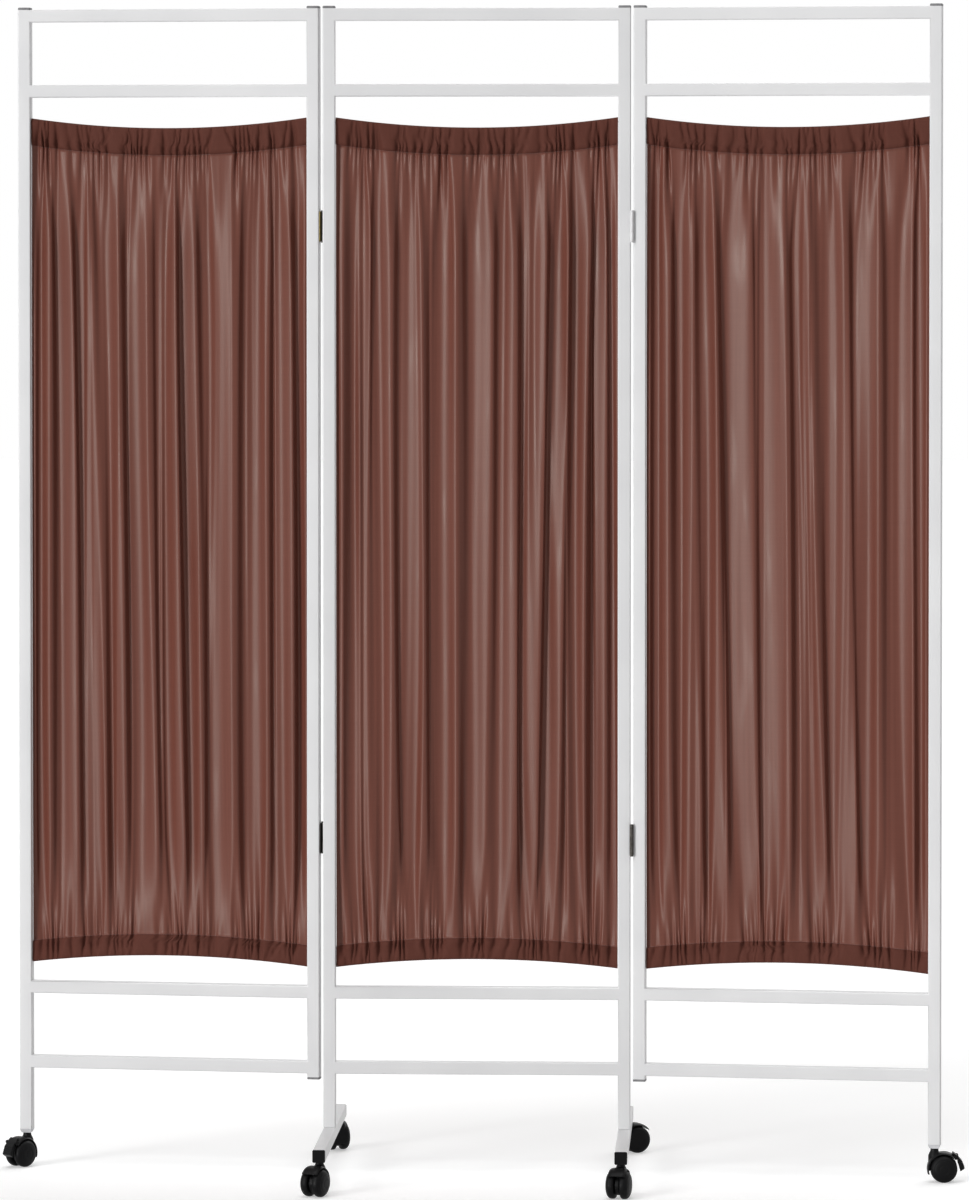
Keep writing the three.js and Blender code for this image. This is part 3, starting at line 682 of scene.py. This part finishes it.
class MainFolds(Folds):
    """The deep folds. Their valleys lie where the table says, with a ridge between each two."""

    def __init__(self, rng, rows):
        self.rows = np.array(rows)
        count = len(self.rows)
        self.valley = np.arange(2 * count + 1) % 2 == 1
        self.ridge_shares = rng.uniform(*RIDGE_PLACE_SHARES, count - 1)
        self.ridge_heights = rng.uniform(*RIDGE_HEIGHTS, count + 1)

    def outline(self, v):
        """As in Folds. A valley's place follows a curve through the three that the table gives."""
        top, halfway, bottom, top_depth, bottom_depth = self.rows.T
        valleys = top * (1 - v) * (1 - 2 * v) + halfway * 4 * v * (1 - v) + bottom * v * (2 * v - 1)
        depths = VALLEY_DEPTH * (top_depth * (1 - v) + bottom_depth * v)
        valleys = valleys + SHADE_SHARE + TUMBLE * depths / (2 * CURTAIN_HALF)
        ridges = valleys[:-1] + np.diff(valleys) * self.ridge_shares
        places = np.zeros(len(self.valley))
        places[-1] = 1
        places[1::2] = np.minimum(valleys, 1 - SHADE_SHARE)
        places[2:-1:2] = ridges
        heights = np.empty(len(self.valley))
        heights[1::2] = depths
        heights[::2] = -self.ridge_heights
        return places, heights


class Gathering:
    """How one hem draws the cloth together: gather points, and creases that run on into the folds."""

    def __init__(self, rng):
        self.centres = spread_out(rng, GATHERS, GATHER_JITTER)
        even = spread_out(rng, CREASES, CREASE_JITTER)
        nearest = self.centres[np.abs(even[:, None] - self.centres[None]).argmin(1)]
        self.places = even + (nearest - even) * rng.uniform(0, CREASE_CROWDING, CREASES)
        self.widths = rng.uniform(*CREASE_WIDTHS, CREASES)
        self.depths = rng.uniform(*CREASE_DEPTHS, CREASES)
        self.reaches = rng.uniform(*CREASE_REACHES, CREASES)
        self.leans = rng.normal(0, CREASE_LEAN, CREASES)

    def pull(self, x, distance):
        """How far the cloth is drawn sideways at a distance from the hem."""
        near = math.exp(-distance / GATHER_REACH)
        away = x[:, None] - self.centres
        return -(GATHER_PULL * away * np.exp(-(away / GATHER_WIDTH) ** 2)).sum(1) * near

    def creases(self, x, distance):
        """Depth of the creases on the body at a distance from the hem. They widen as they fade."""
        width = self.widths * (1 + distance / CREASE_SPREAD)
        away = x[:, None] - self.places
        return (self.depths * np.exp(-distance / self.reaches) * np.exp(-(away / width) ** 2)).sum(1)

    def ruches(self, x, t, height):
        """Depth of the creases on the hem band. t runs from 0 at the stitches to 1 at the wire."""
        width = self.widths * blend(RUCHE_WIDTH_SHARES, t)
        away = x[:, None] - (self.places + self.leans * t * height)
        depth = self.depths * blend(RUCHE_DEPTH_SHARES, t)
        return np.minimum((depth * np.exp(-(away / width) ** 2)).sum(1), HEM_PUFF - RUCHE_FLOOR)


def evenly(x, y, z):
    """A row's samples, spaced evenly along the cloth."""
    length = np.concatenate([[0], np.cumsum(np.hypot(np.diff(x), np.diff(y)))])
    stops = np.linspace(0, length[-1], COLUMNS + 1)
    return np.stack([np.interp(stops, length, values) for values in (x, y, z)], 1)


class Curtain:
    """The middle surface of one gathered curtain, in its leaf's own frame."""

    def __init__(self, side):
        rng = np.random.default_rng(SEEDS[side])
        self.levels = [(MainFolds(rng, VALLEY_SHARES[side]), *MAIN_FADE)]
        self.levels += [(Folds(rng, *level[:3]), *level[3:]) for level in (BROAD_FOLDS, *SMALL_FOLDS)]
        self.hems = {"top": Gathering(rng), "bottom": Gathering(rng)}
        self.lean = random_waves(rng, *LEAN_WAVES)
        self.u = np.linspace(0, 1, SAMPLES)
        self.flat_x = (2 * self.u - 1) * CURTAIN_HALF

    def edge_height(self, end, x):
        """Height of the upper or the lower edge, which bows towards the curtain's middle."""
        bow = 1 - (x / CURTAIN_HALF) ** 2
        return CURTAIN_TOP - TOP_SAG * bow if end == "top" else CURTAIN_BOTTOM + BOTTOM_RISE * bow

    def body(self, v):
        """x and y across the curtain at share v of the way from the upper stitch line to the lower one."""
        length = CURTAIN_TOP - TOP_HEM - CURTAIN_BOTTOM - BOTTOM_HEM
        down, up = v * length, (1 - v) * length
        depths = []
        for folds, left, fade in self.levels:
            grow = left + (1 - left) * float(smoothstep(min(down, up) / fade))
            depths.append(folds.at(self.u, v) * grow)
        y, pull = sum(depths), 0
        for end, distance in (("top", down), ("bottom", up)):
            y = y + self.hems[end].creases(self.flat_x, distance)
            pull = pull + self.hems[end].pull(self.flat_x, distance)
        y = FOLD_LIMIT * np.tanh(y / FOLD_LIMIT)
        edge = np.minimum(self.u, 1 - self.u)
        lean = SWING * waving(self.lean, self.u, v) - TUMBLE
        x = self.flat_x + (lean * depths[0] + pull) * smoothstep(edge / SIDE_HOLD_SHARE)
        calm = SIDE_CALM_LEFT + (1 - SIDE_CALM_LEFT) * smoothstep(edge / SIDE_CALM_SHARE)
        return x, y * calm + SIDE_TURN_BACK * (1 - smoothstep(edge / SIDE_TURN_SHARE))

    def hem(self, end, t, front):
        """x and y across one row of a hem. t runs from 0 at the stitches to 1 at the wire."""
        x, y = self.body(0.0 if end == "top" else 1.0)
        room = WIRE_RADIUS + CLOTH_THICKNESS / 2 + HEM_GAP
        lip = smoothstep(t / HEM_LIP)
        puffed = HEM_START + (HEM_PUFF - HEM_START) * lip * (1 - HEM_EASE * t)
        depth = puffed + (room + HEM_FULLNESS - puffed) * late(t, HEM_CLOSE_SHARE)
        ruches = self.hems[end].ruches(self.flat_x, t, HEM_HEIGHTS[end])
        depth = depth - ruches * blend((RUCHE_START_SHARE, 1), lip)
        depth = np.maximum(depth, HEM_GAP + (room - HEM_GAP) * late(t, HEM_REST_SHARE))
        return x, y * (1 - smoothstep(t)) + (-depth if front else depth)

    def row(self, kind, end, t):
        """Points of one row across the curtain."""
        if kind == "body":
            x, y = self.body(t)
            top, bottom = self.edge_height("top", x), self.edge_height("bottom", x)
            return evenly(x, y, (top - TOP_HEM) * (1 - t) + (bottom + BOTTOM_HEM) * t)
        way = OUTWARDS[end]
        if kind == "round":
            x, front = self.hem(end, 1, True)
            _, back = self.hem(end, 1, False)
            wire = self.edge_height(end, x) - way * WIRE_INSET
            angle = math.pi * t
            y = (front + back) / 2 + (front - back) / 2 * math.cos(angle)
            return evenly(x, y, wire + way * HEADERS[end] * math.sin(angle))
        x, y = self.hem(end, t, kind == "front")
        inset = HEM_HEIGHTS[end] - t * (HEM_HEIGHTS[end] - WIRE_INSET)
        return evenly(x, y, self.edge_height(end, x) - way * inset)

    def surface(self):
        """The cloth from the upper hem's free edge on the back to the lower hem's."""
        shares = np.linspace(0, 1, BODY_ROWS)
        body_shares = shares - ROW_BUNCHING * np.sin(2 * math.pi * shares) / (2 * math.pi)
        hem_shares = np.concatenate([[0, HEM_LIP / 2, HEM_LIP], np.linspace(HEM_LIP, 1, HEM_ROWS - 2)[1:]])
        back_shares = np.linspace(FREE_EDGE_SHARE, 1, BACK_ROWS)
        round_shares = np.linspace(0, 1, ROUND_ROWS + 2)[1:-1]
        rows = [("back", "top", t) for t in back_shares]
        rows += [("round", "top", t) for t in round_shares[::-1]]
        rows += [("front", "top", t) for t in hem_shares[:0:-1]]
        rows += [("body", "", t) for t in body_shares]
        rows += [("front", "bottom", t) for t in hem_shares[1:]]
        rows += [("round", "bottom", t) for t in round_shares]
        rows += [("back", "bottom", t) for t in back_shares[::-1]]
        upper = BACK_ROWS + ROUND_ROWS + HEM_ROWS - 1
        self.stitch_rows = (upper, upper + BODY_ROWS - 1)
        return np.stack([self.row(*row) for row in rows])


def grid_normals(points):
    across = np.gradient(points, axis=1)
    down = np.gradient(points, axis=0)
    normals = np.cross(across, down)
    return normals / np.maximum(np.linalg.norm(normals, axis=2, keepdims=True), 1e-12)


def grid_faces(rows, columns, offset, flip):
    faces = []
    for r in range(rows - 1):
        for c in range(columns - 1):
            a = offset + r * columns + c
            quad = (a, a + 1, a + columns + 1, a + columns)
            faces.append(quad[::-1] if flip else quad)
    return faces


def rim_faces(rows, columns, offset):
    """Faces that join the borders of two equal grids, the second one offset points later."""
    top = list(range(columns))
    right = [r * columns + columns - 1 for r in range(1, rows)]
    bottom = [(rows - 1) * columns + c for c in range(columns - 2, -1, -1)]
    left = [r * columns for r in range(rows - 2, 0, -1)]
    border = top + right + bottom + left
    return [(a, a + offset, b + offset, b) for a, b in zip(border, border[1:] + border[:1])]


def curtain_piece(side, curtain, points):
    rows, columns = points.shape[:2]
    normals = grid_normals(points)
    # The grid's normals point to the back on the body, away from the viewer
    outer = (points - normals * CLOTH_THICKNESS / 2).reshape(-1, 3)
    inner = (points + normals * CLOTH_THICKNESS / 2).reshape(-1, 3)
    offset = rows * columns
    faces = grid_faces(rows, columns, 0, True) + grid_faces(rows, columns, offset, False)
    faces += rim_faces(rows, columns, offset)
    mesh = mesh_of(f"curtain_{side}_cloth", np.concatenate([outer, inner]), faces)
    lengths = np.linalg.norm(np.diff(points, axis=0), axis=2).mean(1)
    down = np.concatenate([[0], np.cumsum(lengths)])
    place = np.zeros((rows, columns, 3))
    place[..., 0] = np.linspace(0, FLAT_WIDTH, columns)
    place[..., 1] = down[:, None]
    both = np.concatenate([place.reshape(-1, 3)] * 2).astype(np.float32)
    mesh.attributes.new("cloth_place", "FLOAT_VECTOR", "POINT").data.foreach_set("vector", both.ravel())
    upper, lower = curtain.stitch_rows
    # Marks the doubled hems, whose colour gets painted shade and whose roughness rises
    doubled = np.ones((rows, columns), np.float32)
    doubled[upper:lower + 1] = 0
    both = np.concatenate([doubled.ravel()] * 2)
    mesh.attributes.new("doubled", "FLOAT", "POINT").data.foreach_set("value", both)
    return link_piece(mesh.name, mesh, FINISHES["curtain_cloth"])


STITCH_PITCH = 3.2 * MM
STITCH_LENGTH = 2.3 * MM
STITCH_SHARES = (0, 0.2, 0.5, 0.8, 1)
THREAD_RADIUS = 0.28 * MM
THREAD_SIDES = 6
# How far a stitch stands off the cloth's face, as a share of its radius, and its ends off the cloth's middle
THREAD_SEAT_SHARE = 0.6
THREAD_END_SHARE = 0.4
WIRE_STEPS = 41
WIRE_BEND = WIRE_RADIUS * 1.5
# How far the middle of a bend lies from its corner along each side, as a share of its radius
BEND_SHARE = 0.3


def stitching_piece(side, points, rows):
    """Dashes of thread along both stitch lines, on the front of the cloth."""
    normals = grid_normals(points)
    parts = []
    for row in rows:
        line = points[row] - normals[row] * (CLOTH_THICKNESS / 2 + THREAD_RADIUS * THREAD_SEAT_SHARE)
        sunk = points[row] - normals[row] * CLOTH_THICKNESS * THREAD_END_SHARE
        along = np.concatenate([[0], np.cumsum(np.linalg.norm(np.diff(line, axis=0), axis=1))])
        for start in np.arange(STITCH_PITCH, along[-1] - STITCH_PITCH, STITCH_PITCH):
            stops = start + STITCH_LENGTH * np.array(STITCH_SHARES)
            raised = np.stack([np.interp(stops, along, line[:, k]) for k in range(3)], 1)
            under = np.stack([np.interp(stops, along, sunk[:, k]) for k in range(3)], 1)
            raised[[0, -1]] = under[[0, -1]]
            parts.append(tube(raised, THREAD_RADIUS, THREAD_SIDES))
    mesh = mesh_of(f"curtain_{side}_stitching", *combined(parts))
    return link_piece(mesh.name, mesh, FINISHES["sewing_thread"])


def wire_piece(side, level, half):
    """A hem wire: it bows between the posts, runs through their inner walls and hooks down inside them."""
    rise = -TOP_SAG if level == "top" else BOTTOM_RISE
    height = CURTAIN_TOP - WIRE_INSET if level == "top" else CURTAIN_BOTTOM + WIRE_INSET
    inner = half - TUBE / 2
    path = []
    for share in np.linspace(-1, 1, WIRE_STEPS):
        path.append((share * inner, 0, height + rise * (1 - share * share)))
    end = inner + WALL + WIRE_REACH
    cut = WIRE_BEND * BEND_SHARE
    corner = [
        (end - WIRE_BEND, 0, height), (end - cut, 0, height - cut), (end, 0, height - WIRE_BEND),
        (end, 0, height - WIRE_HOOK),
    ]
    path = [(-x, y, z) for x, y, z in corner[::-1]] + path + corner
    mesh = mesh_of(f"hem_wire_{level}_{side}", *tube(path, WIRE_RADIUS))
    return link_piece(mesh.name, mesh, FINISHES["hem_wire"])


def dress_leaf(side):
    place, half = leaf_place(side)
    curtain = Curtain(side)
    points = curtain.surface()
    cloth = curtain_piece(side, curtain, points)
    stitching = stitching_piece(side, points, curtain.stitch_rows)
    wires = {level: wire_piece(side, level, half) for level in ("top", "bottom")}
    for piece in (cloth, stitching, *wires.values()):
        piece.matrix_world = place
        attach(piece, f"{side}_leaf")
    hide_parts(f"curtain_{side}")
    for level, wire in wires.items():
        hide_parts(f"{level}_wire_{side}")


# Casters

CASTERS = ("left_front", "left_rear", "right_front", "right_rear", "left_outer", "right_outer")
# Voxel sizes and smoothing passes of the moulded pieces
HOOD_VOXEL = 0.6 * MM
PEDAL_VOXEL = 0.4 * MM
HOOD_PASSES = 4
PEDAL_PASSES = 2
# Points across and along the hood, how far its sides drop, and its wall there
HOOD_COLUMNS = 13
HOOD_ROWS = 40
HOOD_DROP = 2.6 * MM
HOOD_DROP_POWER = 5
HOOD_SIDE_WALL = 0.7 * MM
# The neck's outline below its flare, as height and radius
NECK_RINGS = (
    (28 * MM, 0), (28 * MM, 9.6 * MM), (40 * MM, 9.6 * MM), (44 * MM, 8 * MM), (47 * MM, 6.4 * MM),
    (49 * MM, 6.1 * MM),
)
NECK_STEPS = 48
NECK_CLEARANCE = 0.3 * MM
# Radius of the neck's top, and the stem's length above it, at a foot bar and at an outer post
FLARES = {"foot": 7.6 * MM, "outer": 6 * MM}
STEM_RISES = {"foot": 15 * MM, "outer": 30 * MM}
STEM_SUNK = 2 * MM
STEM_CHAMFER = 1 * MM
STEM_TIP_SHARE = 0.8
STEM_SIDES = 24
# The rib between the wheels: where it starts and ends round the axle, its root, and its points
RIB_DEGREES = (60, 190)
RIB_ROOT = WEB_RADIUS * 0.6
RIB_POINTS = (20, 12)
AXLE_STEPS = 24
# The ears beside the pedal spread by this share at their root
EAR_ROOT_SHARE = 1.3
EAR_POINTS = 9
# The pedal's back edge, bend, shoe, heel, nose and tip, seen from the axle in degrees above the level
PEDAL_BACK, PEDAL_BEND = 62, 36
PEDAL_SHOE = (27, 18)
PEDAL_HEEL = -8
PEDAL_NOSE = 0
PEDAL_TIP = 3
PEDAL_ARC_POINTS = 8
PIN_SIDES = 12
# Where the tread begins, and how far it stands out there
PEDAL_CROWN = 26
PEDAL_CROWN_RISE = 1.3 * MM
GRIP_SHARES = (0.25, 0.5, 0.75)
GRIP_RADIUS = 0.6 * MM
GRIP_SIDES = 10
GRIP_INSET = 1.5 * MM
# A wheel's outline from its inner face outwards, as shares of its width and its radius
WHEEL_SHARES = (
    (0, 0.3), (0, 0.74), (0.02, 0.78), (0.03, 0.86), (0.08, 0.94), (0.16, 0.985), (0.26, 1), (0.45, 1),
    (0.56, 0.985), (0.66, 0.95), (0.75, 0.895), (0.83, 0.82), (0.885, 0.74), (0.9, 0.7), (0.892, 0.68),
    (0.91, 0.66), (0.945, 0.56), (0.97, 0.44), (0.98, 0.34), (0.972, 0.32), (0.98, 0.3), (0.995, 0.2),
    (1, 0.08), (1, 0),
)
WHEEL_STEPS = 64


def caster_facts(name):
    """A caster's place, its turn, and where its axle is: how far behind the stem and how high."""
    stem = Vector(JOINTS[f"caster_{name}_swivel"]["pos_m"])
    axle = Vector(JOINTS[f"caster_{name}_wheel_a_roll"]["pos_m"])
    trail = axle - stem
    turn = math.atan2(trail.y, trail.x)
    place = Matrix.Translation((stem.x, stem.y, 0)) @ Matrix.Rotation(turn, 4, "Z")
    return place, Vector((trail.x, trail.y)).length, axle.z


def polar(trail, height, radius, degrees):
    angle = math.radians(degrees)
    return trail + radius * math.cos(angle), height + radius * math.sin(angle)


def hood_shell(trail, height):
    """The curved cover over the wheels, thinner and rounder towards its sides."""
    outer, inner = [], []
    for way in np.linspace(-1, 1, HOOD_COLUMNS):
        drop = HOOD_DROP * abs(way) ** HOOD_DROP_POWER
        wall = min(HOOD_RADIUS - HOOD_WALL, HOOD_RADIUS - drop - HOOD_SIDE_WALL)
        outer.append((way * HOOD_HALF_WIDTH, HOOD_RADIUS - drop))
        inner.append((way * HOOD_HALF_WIDTH, wall))
    sections = []
    for degrees in np.linspace(HOOD_REAR_DEGREES, HOOD_FRONT_DEGREES, HOOD_ROWS):
        section = []
        for y, radius in outer + inner[::-1]:
            x, z = polar(trail, height, radius, degrees)
            section.append((x, y, z))
        sections.append(section)
    return loft(sections)


def neck(kind):
    """The round neck. Under a foot bar it flares out again to meet the bar's plug."""
    top = CASTER_HEIGHT - NECK_CLEARANCE
    return revolved([*NECK_RINGS, (top, FLARES[kind]), (top, 0)], NECK_STEPS, "Z")


def disc(half, radius, steps):
    """A disc or a rod along Y, its middle at the origin."""
    return revolved([(-half, 0), (-half, radius), (half, radius), (half, 0)], steps)


def ear_parts(trail, height):
    """Two ears beside the pedal, round at their tips."""
    pivot = HOOD_RADIUS + PEDAL_LIFT + PEDAL_THICKNESS / 2
    root = HOOD_RADIUS - HOOD_WALL
    half = PEDAL_PIVOT_RADIUS + PEDAL_EAR_MARGIN
    angle = math.radians(PEDAL_PIVOT_DEGREES)
    outline = [(root, -half * EAR_ROOT_SHARE), (pivot, -half)]
    for turn in np.radians(np.linspace(-90, 90, EAR_POINTS)[1:-1]):
        outline.append((pivot + half * math.cos(turn), half * math.sin(turn)))
    outline += [(pivot, half), (root, half * EAR_ROOT_SHARE)]
    placed = []
    for out, side in outline:
        x = trail + out * math.cos(angle) - side * math.sin(angle)
        z = height + out * math.sin(angle) + side * math.cos(angle)
        placed.append((x, z))
    near = PEDAL_HALF_WIDTH + RUN_GAP
    return [prism(placed, *ends) for ends in ((-near - PEDAL_EAR, -near), (near, near + PEDAL_EAR))]


def hood_mesh(name, trail, height, kind):
    rib_top = HOOD_RADIUS - HOOD_WALL / 2
    rib = [polar(trail, height, rib_top, d) for d in np.linspace(*RIB_DEGREES, RIB_POINTS[0])]
    rib += [polar(trail, height, RIB_ROOT, d) for d in np.linspace(*RIB_DEGREES[::-1], RIB_POINTS[1])]
    reach = WHEEL_INNER + WHEEL_WIDTH / 2
    parts = [
        hood_shell(trail, height), neck(kind),
        moved(disc(WEB_HALF, WEB_RADIUS, NECK_STEPS), (trail, 0, height)),
        prism(rib, -WEB_HALF, WEB_HALF), moved(disc(reach, AXLE_RADIUS, AXLE_STEPS), (trail, 0, height)),
    ]
    if kind == "outer":
        parts.extend(ear_parts(trail, height))
    return moulded(name, parts, HOOD_VOXEL, HOOD_PASSES)


def bar(x, z, reach, radius, sides):
    """A round bar along Y."""
    return tube([(x, -reach, z), (x, 0, z), (x, reach, z)], radius, sides)


def pedal_mesh(name, trail, height):
    """The pedal: a curved plate with a tread that ends in a shoe, its grip ridges and its pin."""
    def at(radius, degrees):
        return polar(trail, height, radius, degrees)

    inside = HOOD_RADIUS + PEDAL_LIFT
    outside = inside + PEDAL_THICKNESS
    reach = HOOD_RADIUS + PEDAL_TIP_REACH
    crown, tip = at(outside + PEDAL_CROWN_RISE, PEDAL_CROWN), at(reach, PEDAL_TIP)
    outline = [at(inside, d) for d in np.linspace(PEDAL_BACK, PEDAL_BEND, PEDAL_ARC_POINTS)]
    outline += [at(WHEEL_RADIUS + PEDAL_SHOE_GAP, d) for d in PEDAL_SHOE]
    outline += [at(WHEEL_RADIUS + PEDAL_HEEL_GAP, PEDAL_HEEL), at(reach - PEDAL_THICKNESS / 2, PEDAL_NOSE)]
    outline += [tip, crown]
    outline += [at(outside, d) for d in np.linspace(PEDAL_BEND, PEDAL_BACK, PEDAL_ARC_POINTS)]
    parts = [prism(outline, -PEDAL_HALF_WIDTH, PEDAL_HALF_WIDTH)]
    for share in GRIP_SHARES:
        x, z = (blend(ends, share) for ends in zip(crown, tip))
        parts.append(bar(x, z, PEDAL_HALF_WIDTH - GRIP_INSET, GRIP_RADIUS, GRIP_SIDES))
    x, z = at(inside + PEDAL_THICKNESS / 2, PEDAL_PIVOT_DEGREES)
    parts.append(bar(x, z, PEDAL_HALF_WIDTH + RUN_GAP + PEDAL_EAR, PEDAL_PIVOT_RADIUS, PIN_SIDES))
    return moulded(name, parts, PEDAL_VOXEL, PEDAL_PASSES)


def wheel_mesh(name, radius):
    outline = [(along * WHEEL_WIDTH, r * radius) for along, r in WHEEL_SHARES]
    return mesh_of(name, *revolved([(0, 0), *outline], WHEEL_STEPS))


def stem_piece(name, kind):
    """The steel stem above the hood, with a chamfered end."""
    top = CASTER_HEIGHT + STEM_RISES[kind]
    path = [(0, 0, CASTER_HEIGHT - STEM_SUNK), (0, 0, top - STEM_CHAMFER), (0, 0, top)]
    radii = [STEM_RADIUS, STEM_RADIUS, STEM_RADIUS * STEM_TIP_SHARE]
    return link_piece(name, mesh_of(name, *tube(path, radii, STEM_SIDES)), FINISHES["hem_wire"])


def place_piece(name, mesh, finish, matrix, body, replaced):
    piece = link_piece(name, mesh.copy(), FINISHES[finish])
    piece.matrix_world = matrix
    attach(piece, body)
    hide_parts(replaced)
    return piece


def dress_casters():
    _, trail, height = caster_facts(CASTERS[0])
    hoods = {kind: hood_mesh(f"hood_{kind}", trail, height, kind) for kind in ("foot", "outer")}
    wheel = wheel_mesh("wheel", height)
    pedal = pedal_mesh("pedal", trail, height)
    for name in CASTERS:
        place, trail, height = caster_facts(name)
        body = f"caster_{name}"
        kind = "outer" if name.endswith("outer") else "foot"
        hood = place_piece(f"{body}_cover", hoods[kind], "black_nylon", place, body, f"{body}_hood")
        stem_piece(f"{body}_stem", kind).parent = hood
        for letter, side in (("a", -1), ("b", 1)):
            wheel_name = f"{body}_wheel_{letter}"
            turn = Matrix.Rotation(math.pi, 4, "Z") if side < 0 else Matrix.Identity(4)
            local = Matrix.Translation((trail, side * WHEEL_INNER, height)) @ turn
            place_piece(f"{wheel_name}_tyre", wheel, "black_tread", place @ local, wheel_name, wheel_name)
        if kind == "outer":
            pedal_name = f"{body}_brake_pedal"
            place_piece(f"{pedal_name}_lever", pedal, "black_nylon", place, pedal_name, pedal_name)


# Stage, light and camera

def light_path_share(tree, outputs):
    """1 on rays of the named kinds and 0 on the others."""
    path = node(tree, "ShaderNodeLightPath")
    total = path.outputs[outputs[0]]
    for name in outputs[1:]:
        total = math_node(tree, "MAXIMUM", total, path.outputs[name])
    return total


SEEN_RAYS = ("Is Camera Ray", "Is Glossy Ray", "Is Transmission Ray")


def stage_floor():
    """A matte floor that glows a little where it is seen, and still takes the shadow."""
    half = FLOOR_SIZE / 2
    corners = [(-half, -half, 0), (half, -half, 0), (half, half, 0), (-half, half, 0)]
    material = bpy.data.materials.new("studio_floor")
    material.use_nodes = True
    tree = material.node_tree
    tree.nodes.clear()
    matte = node(tree, "ShaderNodeBsdfDiffuse", inputs={"Color": FLOOR_COLOUR})
    strength = math_node(tree, "MULTIPLY", light_path_share(tree, SEEN_RAYS), FLOOR_GLOW)
    glow = node(tree, "ShaderNodeEmission", inputs={"Strength": strength})
    both = node(tree, "ShaderNodeAddShader", inputs={0: matte.outputs[0], 1: glow.outputs[0]})
    node(tree, "ShaderNodeOutputMaterial", inputs={"Surface": both.outputs[0]})
    floor = link_piece("studio_floor", mesh_of("studio_floor", corners, [(0, 1, 2, 3)]), material, False)


def set_world():
    """White where the camera or a reflection sees it, and a weak fill elsewhere."""
    world = bpy.data.worlds.new("studio")
    world.use_nodes = True
    tree = world.node_tree
    share = light_path_share(tree, SEEN_RAYS)
    strength = ranged(tree, share, 0, 1, AMBIENT, 1)
    tree.nodes["Background"].inputs["Color"].default_value = (1, 1, 1, 1)
    tree.links.new(strength, tree.nodes["Background"].inputs["Strength"])
    bpy.context.scene.world = world


def add_suns():
    """A soft key from the upper left, a low one for the folds' sheen, and wide ones above and behind."""
    for name, left, up, strength, across in SUNS:
        sun = bpy.data.lights.new(name, "SUN")
        sun.energy = strength
        sun.angle = math.radians(across)
        lamp = bpy.data.objects.new(name, sun)
        bpy.context.scene.collection.objects.link(lamp)
        lamp.rotation_euler = (math.radians(90 - up), 0, math.radians(-left))


def add_camera():
    data = bpy.data.cameras.new("camera")
    data.sensor_width = SENSOR_MM
    data.lens = FOCAL_PIXELS / PHOTO_HEIGHT * SENSOR_MM
    data.shift_y = SHIFT_Y
    data.clip_end = 2 * FLOOR_SIZE
    camera = bpy.data.objects.new("camera", data)
    bpy.context.scene.collection.objects.link(camera)
    camera.location = CAMERA_PLACE
    camera.rotation_euler = (math.pi / 2 - CAMERA_TILT, 0, CAMERA_TURN)
    bpy.context.scene.camera = camera


bpy.context.scene.view_settings.view_transform = "Standard"
add_camera()
finish_nodes()
for leaf_side in SIDES:
    dress_leaf(leaf_side)
dress_casters()
stage_floor()
set_world()
add_suns()

bpy.context.view_layer.update()
